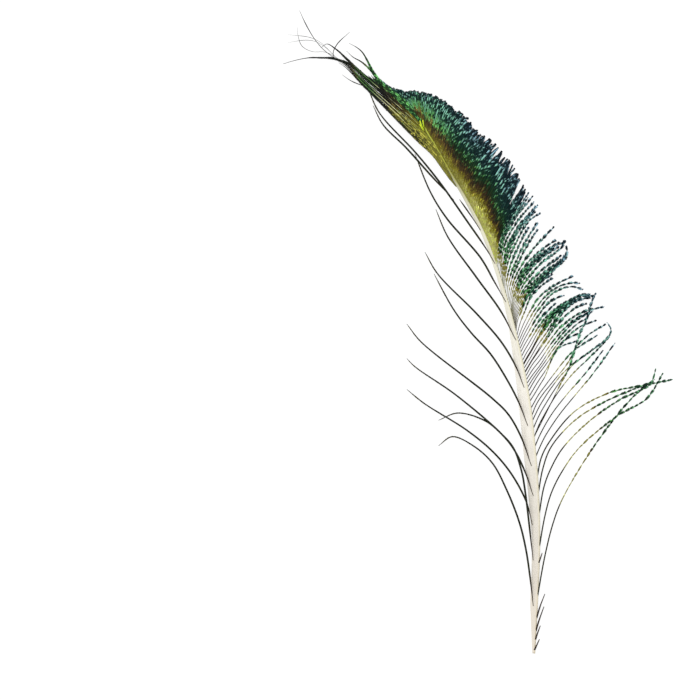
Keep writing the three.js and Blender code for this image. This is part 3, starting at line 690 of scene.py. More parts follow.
def vane_barb(index, line):
    """One close barb: olive by the shaft, then copper, green and teal, its ribbon rocking."""
    place = barb_places[index]
    room_run = np.linspace(0, run_along(line)[-1], GUIDE_STEPS)
    lack = RAGGED_LACK if RAGGED_PLACES[0] < place < RAGGED_PLACES[1] else USUAL_LACK
    line = line[: len(line) - GROWTH.integers(*lack)]
    length = run_along(line)[-1]
    phase, shift = GROWTH.random(), GROWTH.normal(0, ZONE_SCATTER)
    turn = GROWTH.uniform(*VANE_TURN)
    olive, copper, green = (np.interp(place, ZONE_PLACES, ends) for ends in ZONE_ENDS)
    palest, sparkle = at_place(place, PALEST_HUES), at_place(place, SPARKLES)
    tipmost, emerald = smooth(place, *TIPMOST), smooth(place, *EMERALD_STRIP)
    edge_fill = EDGE_FILL + TIPWARD_FILL * smooth(place, *FULLER)

    def reach(run, share):
        """The room beside the barb, times a share that grows from the edge inwards, times the
        height of a quarter circle over the last stretch."""
        room = np.clip(np.interp(run, room_run, barb_room[index]), LEAST_ROOM, MOST_ROOM)
        fills = [edge_fill, edge_fill + STEP_FILL, FULL_FILL]
        wide = room * np.interp(length - run, FILL_PLACES, fills) * rounded(run, length, VANE_KNOB)
        return wide * GROWTH.uniform(*BARBULE_LENGTHS, len(run))

    def twist(run, share):
        """A steady lean plus a sine along the barb, which sets in away from the shaft."""
        rock = np.sin(2 * math.pi * (run / turn + phase))
        return VANE_LEAN + VANE_SWING * rock * smooth(run, *SWING_STARTS)

    def values(run, share, turned):
        """Hue in zones by distance; painted glint in random spots, weakest on the copper, and a strip of
        painted bright green glints near the feather's tip; painted shade where there is no glint."""
        stops = [0, 0.7 * olive, olive, copper, green, green + 4.5, length - 4, length + 1]
        hues = [palest, palest + 0.03, *ZONE_HUES, *(OUTER_HUES - tipmost * TIPMOST_LESS)]
        hue = np.interp(run + shift, np.maximum.accumulate(stops), hues)
        if turned is None:
            age = np.interp(run, [0, copper, green, green + 4], VANE_AGES)
            return dict(hue=hue, glint=share * 0, stalk=share * 0 + 0.5, age=age, dusk=share * 0)
        strengths = [*VANE_GLINTS, GREEN_END_GLINT + TIPMOST_MORE * tipmost, 1.0]
        lit = np.interp(run, [0, olive, copper, green, green + 8], strengths)
        lit = lit * smooth(length - run, *GLINT_BEGINS)
        glint = painted_glints(run, GLINT_PITCH, sparkle) * LIT_ROWS * lit[:, None]
        strip = [copper - 1, copper + 1, green + 1, green + 4]
        bright = emerald * np.interp(run, strip, STRIP_GLINTS)[:, None] * painted_glints(run, *STRIP_PAINTED_GLINTS)
        glint = np.clip(np.maximum(glint, bright), 0, 1)
        hue = hue[:, None] + GROWTH.normal(0, HUE_SCATTER, (len(run), 2))
        grown_up = np.interp(run, [0, olive, copper], VANE_DUSKS)
        dusk = smooth(glint, *UNLIT) * SHADED_ROWS * grown_up[:, None]
        rim = RIM_DUSK * grown_up ** 2
        return dict(hue=hue, glint=glint, stalk=share * 0, age=share, dusk=dusk, rim=rim)

    def radius(run, share):
        """Thinner in step with the share, with a foot that dies away from the shaft."""
        return VANE_RADIUS - VANE_THINS * share + FOOT_SWELL * np.exp(-run / FOOT_LENGTH)

    return barb(line, index, len(vane_lines), radius, reach, twist, VANE_BARBULE_SPACING, values)


vane_material = barb_material("shimmering_vane", 0.55)
join_barbs(
    "close_vane", [vane_barb(i, line) for i, line in enumerate(vane_lines)], vane_material,
)


# The comb
# Below the close vane the barbs stand apart: a thin bare stalk at first, then a narrow ribbon of
# barbules that twists on itself, so it shows as dark dashes, with a glint painted where it stands
# on edge. Their tips gather and curl.
COMB_GUIDES = [
    [
        (0.8, 107.6), (3.7, 114.4), (6.5, 119.9), (13.8, 130.9), (22.7, 141.9), (31.9, 152.9),
        (44.5, 170.5),
    ],
    [(0.3, 113.1), (3.2, 119.9), (9.4, 130.9), (17.8, 141.9), (27.5, 152.9), (38, 166.5)],
    [
        (-0.2, 118.1), (2.7, 125.4), (5.6, 130.9), (12.2, 141.9), (20.7, 152.9), (31, 163),
        (40.5, 173), (42.5, 177.5),
    ],
    [
        (-0.7, 122.9), (2.9, 130.9), (6, 136.4), (13, 147.4), (21.4, 158.4), (39.5, 172.5),
        (42.5, 177.5), (40, 182),
    ],
    [(-1.2, 127.1), (0.6, 130.9), (3.4, 136.4), (10.6, 147.4), (18, 156), (38.5, 171.5)],
    [
        (-1.2, 130.6), (1.1, 136.4), (4.5, 141.9), (8.9, 147.4), (13.4, 152.9), (17.2, 157.5),
        (20, 162), (23, 168), (30, 175), (39.5, 181),
    ],
    [(-1.7, 134.6), (2.4, 141.9), (6.4, 147.4), (11, 153.5), (21, 165.5), (35, 175)],
    [
        (-2.2, 138.6), (-0.1, 141.9), (3.2, 147.4), (6, 152), (8.2, 157.5), (10.3, 163), (14, 168),
        (23, 171.5),
    ],
    [
        (-3, 144.1), (-0.8, 148), (2.2, 152.9), (6.3, 158.4), (10.2, 163.9), (14, 169.4),
        (18.5, 174), (25.5, 179.5), (34.5, 183),
    ],
    [
        (-3.7, 148.6), (-0.8, 152.9), (3.4, 158.4), (7, 163.9), (10.8, 169.4), (22.5, 182.5),
        (32.5, 188),
    ],
    [
        (-4.4, 152.6), (-1.1, 158.4), (3.1, 163.9), (6.9, 169.4), (11, 175), (14.8, 179.4),
        (25.5, 187), (38.5, 190.5),
    ],
    [
        (-5.3, 156.9), (-1.6, 163), (2.1, 169.4), (6, 174.9), (9.8, 180.6), (15.5, 188),
        (22, 194), (31, 195.5),
    ],
    [
        (-6.3, 161), (-4.2, 165), (-1.5, 169.4), (1.4, 174.9), (4.8, 180.4), (10, 187),
        (18, 193), (26.5, 197), (33.5, 196),
    ],
    [(-7.2, 165.7), (-5, 170), (-1.8, 175.3), (1.2, 180.4), (5.2, 185.8), (12, 192.5)],
    [
        (-8.1, 169.3), (-5.5, 175), (-2.6, 180.4), (0.5, 186), (4.5, 191.5), (10.5, 198),
        (20, 201.5), (27, 200),
    ],
    [
        (-9.1, 172.4), (-6.6, 179), (-3.8, 185), (-0.7, 190.5), (2.8, 195.7), (10, 201.5),
        (21.5, 207.5),
    ],
    [(-10, 176), (-9, 183), (-6.5, 189), (-3.5, 196), (4, 204), (10, 208.5)],
    [(-11, 180), (-10, 187), (-7.5, 193), (-3.8, 198.4), (6, 208.2), (17.6, 218), (17.8, 224)],
    [(-12, 183.5), (-11, 191), (-8.5, 197), (-5.5, 203), (3, 213.5), (15.5, 223.5), (17, 227)],
    [(-13, 187), (-12, 194), (-10, 201), (-4, 212), (4, 219.5), (12.5, 225), (16, 225.5)],
    [(-14, 191), (-13, 197.5), (-11.5, 203.5), (-9, 209.5), (-1.5, 221), (11, 234.5)],
    [(-15, 194), (-14.5, 201), (-13, 207.5), (-10.5, 214), (-4.5, 226.5), (2, 237)],
    [(-16.5, 198.5), (-16, 205.5), (-15, 212), (-13, 219), (-10, 225.5), (-3, 237.5), (3.5, 242)],
    [(-17.5, 202.5), (-17.5, 209.5), (-16.5, 217), (-14.5, 224.5), (-8, 235.5), (2, 246.5)],
    [(-19, 207), (-18.5, 214), (-18, 221.5), (-16, 229), (-12.5, 235), (-9, 241), (-0.5, 251.5)],
]
# One long barb crosses the others on its way up
CROSSING_BARB = [
    (0, 118.8), (7.2, 133.1), (14.3, 147.4), (19.1, 156.4), (23.1, 169.1), (26.1, 177.8),
    (28.9, 183.2), (31.9, 193.6), (34.1, 198),
]
CROSSING_GUIDE = 10
# Where each barb between two neighbours leans, from 0 at the lower one to 1 at the upper one
COMB_LEANS = [
    (), (), (), (), (), (), (), (0.5,), (0.5,), (0.5,), (0.5, 0.85),
    (0.4, 0.6, 0.85), (0.4,), (0.6,), (0.4,), (0.7,), (0.5, 0.8), (0.2, 0.5), (0.5, 0.8), (0.3,),
    (0.7,), (0.5,), (0.5, 0.8), (0.5,), (0.5,),
]
# Number of the guide, and how far the ribbon's barbules reach there
COMB_WIDTHS = [
    (0, 1.0), (8, 1.0), (11, 1.5), (12, 1.5), (14, 1.15), (17, 1.5), (19, 1.4), (25, 1.15),
]
# Share of the way up the comb, and the age of the stalks there
COMB_AGES = [(0, 0.88), (0.5, 0.7), (0.75, 0.33), (1, 0.31)]
# Share of the plumed length, and the hue there, below and above one guide
COMB_HUES = [(0, 0.06), (0.33, 0.12), (0.345, 0.48), (0.55, 0.6), (0.85, 0.72), (1, 0.8)]
UPPER_COMB_HUES = [(0, 0.06), (0.2, 0.12), (0.22, 0.46), (0.5, 0.6), (0.85, 0.74), (1, 0.84)]
UPPER_COMB = 9
# Below this guide, the barbs between two neighbours cling together at their stalks
CLINGING_COMB, CLINGING_SPREAD = 13, 0.3
# Shares of the length over which a barb between two others leans, and at which it ends
BETWEEN_LEANS, BETWEEN_LENGTH = (0.1, 0.75), (0.82, 0.99)
# The last guide lies between the vane's first two ribs
BESIDE_VANE = 0.45
COMB_RISE = 3.4
# The lowest tip's height, the most that a tip curls up, and how fast that varies along the comb
LOWEST_TIP, COMB_CURL, CURL_TURN = 0.25, 3.6, 2.1
# Every loose barb rises this much where it leaves the shaft
ROOT_LIFT, ROOT_LIFT_STARTS = 0.6, (-0.02, 0.05)
# At the comb's lowest barb, and how much less at its highest: bare share, twist's turn, thickness
LOWEST_BARE, BARE_LESS, BARE_CURVE = 0.48, 0.44, 0.8
LOWEST_TURN, TURN_LESS = 8.0, 2.8
LOWEST_STOUT, STOUT_LESS = 0.34, 0.18
# How uneven the twist is and over what distance, and how much it lingers flat
TWIST_VARIES, TWIST_WANDERS, TWIST_LINGERS = (0.85, 1.15), (0.8, 3.1), 0.42
# Two parts of a ribbon's width, each with the share of the length over which it is grown in, and
# the wave of its width: height and distance
QUICK_GROWN, SLOW_GROWN, WIDTH_WAVE = (0.45, 0.08), (0.55, 0.4), (0.2, 2.3)
COMB_BARBULE_LENGTHS, COMB_HUE_SCATTER = (0.8, 1.12), 0.02
# Hues between which a barb turns olive
OLIVE_HUES = (0.4, 0.2)
# Painted glint and painted shade of the right and the left row, the left one more shaded, and
# pitch and share of the painted glints
COMB_LIT_ROWS, COMB_SHADED_ROWS = np.array([0.8, 0.3]), np.array([0.1, 0.5])
COMB_PAINTED_GLINTS = (1.3, 0.4)
# Steepness over which the stalk and the barbules turn to standing on edge, where a glint is painted
STALK_ON_EDGE, RIBBON_ON_EDGE = (0.6, 0.95), (0.75, 1)
# Plumed shares between which the stalk turns bald, its dusk, and how much less that is on olive
BALD, COMB_STALK_DUSK, LESS_ON_OLIVE = (0.1, 0.04), 0.9, 0.5
# Dark of olive ribbons where they lie flat, and painted shade at the barbules' outer ends
OLIVE_DUSK, COMB_RIM_DUSK = 0.45, 0.4
# A ribbon's core, how much a bare stalk thins and grows younger to its tip, and the share of the
# length over which it turns to core
CORE_RADIUS, STALK_THINS, STALK_YOUNGER, CORE_STARTS = 0.14, 0.06, 0.12, 0.2


def arched(level, start, end, rise):
    """A level line given height: from start to end, with an arch of that rise over its middle."""
    share = np.linspace(0, 1, len(level))
    height = start + (end - start) * share + 4 * rise * share * (1 - share)
    height = np.maximum(height, 0) + ROOT_LIFT * smooth(share, *ROOT_LIFT_STARTS)
    return np.column_stack([seen_at(level, height), height])


def plumed_barb(
    line, lane, lanes, bare, wide, turn, hues, stout, aged=0.85, glow=1.0, taper=2.5,
):
    """A loose barb: bare up to a share of its length, then a ribbon that twists once a turn. Its
    twist lingers where the ribbon lies flat, and a glint is painted where it stands on edge."""
    length = run_along(line)[-1]
    phase, drift = GROWTH.uniform(0, 2 * math.pi, 2)
    turn = turn * GROWTH.uniform(*TWIST_VARIES)
    wander, wander_run = TWIST_WANDERS

    def angle(run, share):
        """A steady turn made uneven by one sine, less a sine of twice itself, so it lingers flat."""
        steady = 2 * math.pi * run / turn + phase + wander * np.sin(run / wander_run + drift)
        return steady - TWIST_LINGERS * np.sin(2 * steady)

    def reach(run, share):
        """The width, grown in over two stretches past the bare part, with a rounded end and a
        slow sine along it."""
        parts = (part * smooth(share, bare, bare + over) for part, over in (QUICK_GROWN, SLOW_GROWN))
        wave = 1 + WIDTH_WAVE[0] * np.sin(run / WIDTH_WAVE[1] + 3 * drift)
        uneven = wave * GROWTH.uniform(*COMB_BARBULE_LENGTHS, len(run))
        return wide * sum(parts) * rounded(run, length, taper) * uneven

    def values(run, share, turned):
        """Hue by the share of the plumed length; painted glint where the ribbon stands on edge or in
        random spots; dusk where it lies flat, its own dark colour with painted shade added, more on the
        left row."""
        plumed = (share - bare) / (1 - bare)
        hue = at_place(plumed, hues)
        if turned is None:
            on_edge = smooth(np.abs(np.sin(angle(run, share))), *STALK_ON_EDGE)
            bald = smooth(plumed, *BALD)
            dusk = COMB_STALK_DUSK - LESS_ON_OLIVE * smooth(hue, *OLIVE_HUES)
            dusk = dusk * (1 - on_edge) * (1 - bald)
            age = aged - STALK_YOUNGER * share
            return dict(hue=hue, glint=on_edge, stalk=bald, age=age, dusk=dusk)
        on_edge = smooth(np.abs(np.sin(turned)), *RIBBON_ON_EDGE)[:, None]
        glint = np.maximum(on_edge, COMB_LIT_ROWS * painted_glints(run, *COMB_PAINTED_GLINTS)) * glow
        olive = smooth(hue, *OLIVE_HUES)[:, None]
        dusk = (1 - on_edge) * COMB_SHADED_ROWS * smooth(glint, *UNLIT)
        dusk = dusk * (1 - olive) + OLIVE_DUSK * (1 - on_edge) * olive
        hue = hue[:, None] + GROWTH.normal(0, COMB_HUE_SCATTER, (len(run), 2))
        rim = share * 0 + COMB_RIM_DUSK
        return dict(hue=hue, glint=glint, stalk=share * 0, age=share, dusk=dusk, rim=rim)

    def radius(run, share):
        """The bare stalk's thickness, less in step with the share, blended into a thin core."""
        plumed = smooth(share, bare, bare + CORE_STARTS)
        return (stout - STALK_THINS * share) * (1 - plumed) + CORE_RADIUS * plumed

    return barb(line, lane, lanes, radius, reach, angle, LOOSE_BARBULE_SPACING, values)


comb_guides = np.array([course(guide, GUIDE_STEPS) for guide in COMB_GUIDES])
vane_side = between(RIBS, np.full((1, GUIDE_STEPS), BESIDE_VANE))
comb_guides = np.concatenate([comb_guides, vane_side])
comb_courses = []
for guide, level in enumerate(comb_guides):
    comb_courses.append((guide, level))
    leans = COMB_LEANS[guide] if guide < len(COMB_LEANS) else ()
    for k, lean in enumerate(leans):
        start = (k + 1) / (len(leans) + 1)
        if guide < CLINGING_COMB:
            start = 0.5 + CLINGING_SPREAD * (start - 0.5)
        share = np.linspace(0, 1, GUIDE_STEPS)
        place = start + (lean - start) * smooth(share, *BETWEEN_LEANS)
        level = between(comb_guides, guide + place[None, :])[0]
        kept = GROWTH.uniform(*BETWEEN_LENGTH)
        comb_courses.append((guide, spaced(level[: int(GUIDE_STEPS * kept)], GUIDE_STEPS)))
comb_courses.append((CROSSING_GUIDE, course(CROSSING_BARB, GUIDE_STEPS)))
comb_barbs = []
for lane, (guide, level) in enumerate(comb_courses):
    upward = guide / (len(comb_guides) - 1)
    curl = COMB_CURL * (0.5 + 0.5 * math.sin(CURL_TURN * guide))
    line = arched(level, root_height(level[:1])[0], LOWEST_TIP + curl, COMB_RISE)
    comb_barbs.append(plumed_barb(
        line, lane, len(comb_courses), bare=LOWEST_BARE - BARE_LESS * upward ** BARE_CURVE,
        wide=at_place(guide, COMB_WIDTHS), turn=LOWEST_TURN - TURN_LESS * upward,
        hues=COMB_HUES if guide < UPPER_COMB else UPPER_COMB_HUES,
        stout=LOWEST_STOUT - STOUT_LESS * upward, aged=at_place(upward, COMB_AGES),
    ))
join_barbs("comb", comb_barbs, barb_material("shimmering_comb", 0.5))


# The tuft
# Five long barbs near the quill swing out to the right together and cross near their tips. They
# are bare for a third of their length, and their barbules are short.
TUFT_GUIDES = [
    [
        (1.2, 27), (6, 53.5), (10.5, 71.5), (15.5, 84.5),
        (32.5, 113), (50.5, 136.5), (60, 146), (66.5, 150.5),
    ],
    [(2.2, 54), (6, 75.5), (9.5, 88), (15.5, 100), (25, 113), (46, 130.5), (62, 140), (71, 154)],
    [(2.3, 73), (5.5, 91.5), (9.5, 102), (16, 113), (31, 128), (47.5, 139.5), (64, 148), (67, 156.5)],
    [(2, 86), (5, 102), (9.5, 113.5), (22.5, 128), (39.5, 138.5), (66, 149.5)],
    [(1.6, 96), (4, 107.5), (9, 117), (22.5, 133), (42.5, 143.5), (59, 147), (76.5, 150.5)],
]
TUFT_RISE = 4.6
TUFT_TIP_HEIGHTS = [2.6, 4.6, 6.5, 3.6, 5.5]
tuft_barbs = []
for lane, (guide, tip_height) in enumerate(zip(TUFT_GUIDES, TUFT_TIP_HEIGHTS)):
    level = course(guide, 2 * GUIDE_STEPS)
    line = arched(level, root_height(level[:1])[0], tip_height, TUFT_RISE)
    tuft_barbs.append(plumed_barb(
        line, lane, len(TUFT_GUIDES), bare=0.36, wide=1.1, turn=7, stout=0.42,
        hues=[(0, 0.08), (0.4, 0.13), (0.44, 0.45), (1, 0.56)], glow=0.8, taper=5,
    ))
join_barbs("tuft", tuft_barbs, barb_material("dull_tuft", 0.35))


# The left barbs
# On its left the shaft bears only single barbs, dark and nearly bare, each a smooth bow. Their
# bases run down the flank as brown ridges.
LEFT_GUIDES = [
    [
        (-0.5, 26), (-2, 40), (-4.5, 57), (-8, 71.5), (-15, 89.5),
        (-23, 104.5), (-33.5, 114), (-45, 119), (-52.5, 114),
    ],
    [
        (-0.5, 51), (-5, 89.5), (-7, 100.5), (-11.5, 113),
        (-19, 121.5), (-27.5, 128), (-42, 132), (-52.5, 128),
    ],
    [(-1, 70.5), (-4, 82.5), (-12.5, 98.5), (-23, 111), (-37, 122.5), (-60, 137), (-70, 145)],
    [(-0.5, 86.5), (-4.5, 98.5), (-10.5, 111), (-17, 119.5), (-42.5, 141.5), (-65.5, 157.5), (-70, 162)],
    [(-1.5, 103), (-7, 118.5), (-14, 131), (-23, 140), (-62, 171), (-70, 181)],
    [(-3.5, 125), (-8.5, 138), (-15, 150.5), (-24, 164.5), (-34.5, 176), (-44, 188.5), (-55, 208.5)],
    [(-5.5, 146), (-10, 157.5), (-18, 171), (-31.5, 186.5), (-53, 208.5), (-60, 220.5)],
    [(-10, 172), (-18, 187.5), (-32, 207), (-47.5, 229), (-54, 244)],
    [(-15.5, 193), (-22, 204.5), (-29.5, 217.5), (-48, 239), (-57, 253.5), (-65.5, 274.5)],
    [(-21.5, 214), (-25.5, 221), (-36.5, 237), (-52, 259), (-65, 275), (-85, 297), (-91.5, 311)],
    [(-44, 249), (-57.5, 263.5), (-70.5, 278), (-83, 290.5), (-88.5, 301)],
    [(-29.5, 232.5), (-33, 238), (-41, 249.5)],
]
# The bow's rise is a share of the barb's length, up to a most
LEFT_RISE, LEFT_RISE_SHARE = 4.4, 0.06
LEFT_TIP_HEIGHT = 0.45
LEFT_REACH, LEFT_TAPER = 0.72, 12
LEFT_BARBULE_SPACING, LEFT_BARBULE_LENGTHS = 0.3, (0.75, 1.1)
# Distances over which a barb gets its barbules and its full thickness, and the share of that
# thickness that it has on the flank
LEFT_PLUMED, LEFT_FULL, THIN_ON_FLANK = (6, 22), (0, 20), 0.35
# Share of the length, and the stalk's radius there once it has left the flank
LEFT_RADII = [(0, 0.58), (0.5, 0.58), (0.8, 0.46), (1, 0.16)]
# Share of the length and the hue there, and distance and the stalk's age there
LEFT_HUES = [(0, 0.42), (0.5, 0.4), (1, 0.2)]
LEFT_AGES = [(0, 0.5), (8, 0.7), (30, 0.93)]
# Strength of the painted olive glint towards the tip, and of the barbules' darkening at the root
LEFT_GLINT, LEFT_DUSK = 0.3, 0.6
LEFT_SWING, LEFT_SWING_RUN = math.radians(20), 9
CLEAR_OF_SHAFT = 0.02


def shaft_top(points):
    """Height of the shaft's upper face over level points, and 0 beyond its sides."""
    nearest, across = beside_shaft(points)
    left, right, height, lift = shaft_sizes(SHAFT_RUN[nearest])
    share = np.where(across < 0, across / left, across / right)
    places, ups = np.array(sorted(SECTION_TOP)).T
    return np.where(np.abs(share) < 1, lift + height * np.interp(share, places, ups), 0)


def left_barb(guide, lane):
    """One left barb: draped over the flank at first, with barbules that stay close to the stalk."""
    level = course(guide, 2 * GUIDE_STEPS)
    length = run_along(level)[-1]
    rise = min(LEFT_RISE, length * LEFT_RISE_SHARE)
    line = arched(level, root_height(level[:1])[0], LEFT_TIP_HEIGHT, rise)
    line[:, 2] = np.maximum(line[:, 2], shaft_top(level) + CLEAR_OF_SHAFT)

    def reach(run, share):
        """Short barbules that begin off the flank and shorten along a quarter circle."""
        wide = LEFT_REACH * smooth(run, *LEFT_PLUMED) * rounded(run, length, LEFT_TAPER)
        return wide * GROWTH.uniform(*LEFT_BARBULE_LENGTHS, len(run))

    def values(run, share, turned):
        """Brown at the root and nearly black further out, with a painted olive glint towards the tip."""
        hue, age = at_place(share, LEFT_HUES), at_place(run, LEFT_AGES)
        if turned is None:
            return dict(hue=hue, glint=share * 0, stalk=share * 0 + 1, age=age, dusk=share * 0)
        glint, dusk = LEFT_GLINT * share * GROWTH.random(len(run)), LEFT_DUSK * (1 - share)
        return dict(hue=hue, glint=glint, stalk=share * 0 + 0.5, age=age, dusk=dusk)

    def radius(run, share):
        """By the share of the length, and thinner on the flank."""
        full = THIN_ON_FLANK + (1 - THIN_ON_FLANK) * smooth(run, *LEFT_FULL)
        return at_place(share, LEFT_RADII) * full

    def twist(run, share):
        """A slow sine along the barb."""
        return LEFT_SWING * np.sin(run / LEFT_SWING_RUN)

    return barb(
        line, lane, len(LEFT_GUIDES), radius, reach, twist, LEFT_BARBULE_SPACING, values,
    )


join_barbs(
    "left_barbs", [left_barb(guide, i) for i, guide in enumerate(LEFT_GUIDES)],
    barb_material("dark_barbs", 0.2),
)


# The tip
# The barbs of the shaft's end lie along it in a close bundle, run on past it and part into thin,
# nearly bare strands that stand up a little from the surface.
TIP_GUIDES = [
    [
        (-42.8, 256.6), (-49, 265), (-55.9, 274.4), (-63.6, 281.5), (-82.9, 301.2), (-96, 314.4),
        (-103.9, 322.3), (-110.6, 326.4),
    ],
    [
        (-47.5, 268), (-53.4, 275.3), (-60.6, 281.8), (-77.1, 297.9), (-93.6, 313), (-103.7, 323.1),
        (-110.6, 326.8),
    ],
    [(-53.5, 279), (-60.9, 285.3), (-76.9, 299.6), (-93.4, 314.5), (-103.6, 323.8), (-110.6, 326.9)],
    [
        (-58.3, 284.4), (-64.9, 290.8), (-82, 306.4), (-93, 316.1), (-98.5, 321.2), (-102.9, 324.5),
        (-110.6, 327),
    ],
    [(-59.7, 287.1), (-64.9, 292.6), (-82, 308), (-93, 317.4), (-96.8, 320.9), (-104.2, 327.8)],
    [(-60.2, 288.8), (-66.6, 295.4), (-80.3, 308.8), (-85.8, 314.9), (-88.6, 319), (-91, 321.8)],
    [(-60.5, 291), (-66, 298.7), (-75.4, 307.2), (-82.8, 312.7), (-87.5, 318.2), (-90.5, 323.4)],
]
# Past the bundle, four of them run on alone
TIP_RUN_ON = {
    3: [(-118.8, 327.4), (-124.3, 327.3), (-131.5, 325.9), (-138, 324)],
    4: [(-106.7, 330.3), (-109.5, 332.5), (-113.9, 335), (-117.2, 332.8)],
    5: [(-95.2, 325.3), (-99.6, 327.8), (-103.1, 331.1)],
    6: [(-91.9, 326.2), (-94.1, 330), (-97.1, 332.8), (-101.8, 335.4)],
}
# For each guide, its tip's height and its rise between the ends
TIP_ENDS = [3.4, 3.2, 3.6, 0.3, 6.5, 3.4, 5.0]
TIP_RISES = [1.8, 1.8, 1.6, 2.2, 1.0, 1.0, 1.4]
# Each strand's place among the guides at its root and at its tip, and the share of it that is there
TIP_STRANDS = [
    (0, 0, 0.97), (0.28, 0.25, 0.45), (0.55, 0.45, 0.6), (0.8, 0.75, 0.4), (1, 1, 0.97),
    (1.35, 1.3, 0.4), (1.7, 1.6, 0.5), (2, 2, 1), (2.5, 2.4, 0.55), (3, 3, 1), (3.4, 3.4, 0.62),
    (3.7, 3.6, 0.95), (4, 4, 1), (4.2, 4.2, 0.8), (4.45, 4.45, 0.82), (4.7, 4.7, 0.85), (5, 5, 1),
    (5.25, 5.2, 0.6), (5.5, 5.5, 0.9), (5.75, 5.75, 0.7), (6, 6, 1),
]
# Shares of the length over which a strand changes its place
STRAND_LEANS = (0.05, 0.45)
TIP_REACH = 1.25
# Share of its reach that a strand has at its bare end and at its root, and the distances over
# which it grows from that to the whole
END_REACH, ROOT_REACH, WHOLE_REACH = 0.25, 0.5, (0, 5)
BRIGHT_STRANDS = (0.55, 1, 1.7, 2, 2.5, 3, 3.7, 4, 5)
LONGEST_STRAND, LONGEST_THICKNESS = 3, 1.5
# Length of a strand's end that is nearly bare, and over which its barbules grow to their full reach
LONGEST_END, LONG_END, SHORT_END = (13, 16), (4, 16), (1, 4)
KEPT_WHOLE = 0.9
# Thin single strands: thickness, height at the start and the end, lift between, and course
WISPS = [
    (1.0, 3.4, 10, 0, [
        (-107, 325), (-110, 327.6), (-110.4, 330.6), (-108.6, 334.4), (-106.8, 336.6), (-101.2, 341.6),
    ]),
    (1.0, 3.2, 9, 1, [
        (-105, 325), (-110.6, 327.8), (-117.2, 333.3), (-121.6, 339), (-125.6, 346), (-129, 353.4),
    ]),
    (0.6, 3, 7, -1, [
        (-106, 325.4), (-112, 329.4), (-115.5, 330.6), (-122.1, 330.8), (-127.7, 333.9),
        (-129.8, 339.7), (-130.1, 344),
    ]),
    (0.5, 3.6, 4, 2, [(-108, 327), (-116, 334), (-121.2, 336.6), (-127, 337), (-135.3, 335.7)]),
    (0.5, 4.4, 5, 2, [(-110, 328.5), (-117, 335.5), (-123.2, 338.5), (-135.3, 340.1)]),
    (1.0, 2.6, 0.6, 1.4, [(-84, 306.5), (-91.5, 311), (-97.4, 313.2), (-101.2, 315), (-105.5, 318)]),
]
# Their place among the guides, for their colours, and the reach of their barbules
WISP_PLACE, WISP_REACH = 3.5, 0.3
# Three short barbs that crown the end of the shaft, the brightest spot of all
CROWN = [
    [(-60.4, 287.4), (-61.6, 289.6), (-62.7, 292.6)], [(-60.3, 288.6), (-60.9, 291), (-61.1, 293.1)],
    [(-60.6, 287), (-61.8, 289), (-62.8, 290.8)],
]
CROWN_HEIGHT, CROWN_RISE, CROWN_STEPS = 5.0, 0.4, 12
CROWN_RADIUS, CROWN_THINS, CROWN_REACH, CROWN_DUSK = 0.22, 0.1, 0.45, 0.1
# How far a strand has come to the left, and there: hue, dusk and painted glint of its barbules and
# the age of its stalk. It goes from gold through black with a pale stalk and green to black.
TIP_ZONES = np.array([
    (54, 0.12, 0.0, 0.3, 0.2), (61, 0.14, 0.0, 0.7, 0.1), (70, 0.18, 0.05, 0.5, 0.06),
    (78, 0.24, 0.45, 0.4, 0.0), (86, 0.42, 0.95, 0, 0.05), (90, 0.47, 0.75, 0.3, 0.15),
    (98, 0.49, 0.8, 0.2, 0.17), (103, 0.5, 0.9, 0, 0.85), (110, 0.5, 0.95, 0, 1.0),
])
# Places among the guides: the dark outermost strands end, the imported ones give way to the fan,
# and the fan to the emerald ones
DARK_EDGE = 0.4
PACKED_PLACE = (2.2, 1.4)
EMERALD_PLACE = (4.2, 5)
# How far to the left the pack's olive and the gold tones end, and so do the emerald ones' glints
PACK_END, GOLD_END, GLINT_END = 74, 76, 96
PACK_HUE, EMERALD_HUE = 0.125, 0.47
STRIPE_DUSK, EDGE_DUSK, LEFT_PACK_DUSK = 0.6, 0.6, 0.3
# How far to the left the barbs begin to part and have parted, and how much sooner in the pack
PARTING, PACK_SOONER = np.array([60, 76]), np.array([4, 14])
# The least and most that a strand is darker and of another hue than its neighbours
SHADES, TONES = (-0.2, 0.3), (-0.05, 0.1)
TIP_SWING, TIP_TURN = math.radians(14), (7, 11)
# Pitch and share of the painted glints, how much painted glint the two rows get, and the glint
# at which dusk goes
TIP_PAINTED_GLINTS, TIP_LIT_ROWS, TIP_UNLIT = (0.9, 0.45), np.array([1, 0.6]), (0.6, 0.1)
# Painted glint of the emerald strands, and how much less dusk they have
GREEN_GLINT, GREEN_LIGHTER = 0.8, 0.8
TIP_RIM_DUSK, GREEN_RIM_LIGHTER, MOST_DUSK = 0.92, 0.35, 0.95
# Distances from the free end over which stalk and barbules turn black, and how black these get
BLACK_STALK, BLACK_BARBULES, BLACKEST = (8, 16), (8, 20), 0.9
# How far to the left, and how old a stalk that isn't bright looks there, how much of it shows as
# a stalk, and its radius
DULL_AGES = [(60, 0.6), (74, 0.9)]
STALK_SHOWS = [(60, 0.5), (72, 1)]
NEAR_RADII = [(60, 0.1), (72, 0.17), (86, 0.17), (94, 0.12)]
# Within the pack, up to here, a bright stalk shows less by a share; an emerald one ages up to there
PACK_STALK_END, PACK_STALK_LESS = 72, 0.6
EMERALD_AGE_END, EMERALD_AGE = 90, 0.85
PACK_HUE_END = 80
# Past a free strand's bare end, where it is thickest and where it is back to its usual
THICKEST_PAST, USUAL_PAST = 4, 14
END_RADII = (0.08, 0.15, 0.3, 0.17)


def how_far_left(line, run):
    """How far to the left of the cut end a line has come, at distances along it."""
    return -np.interp(run, run_along(line), line[:, 0])


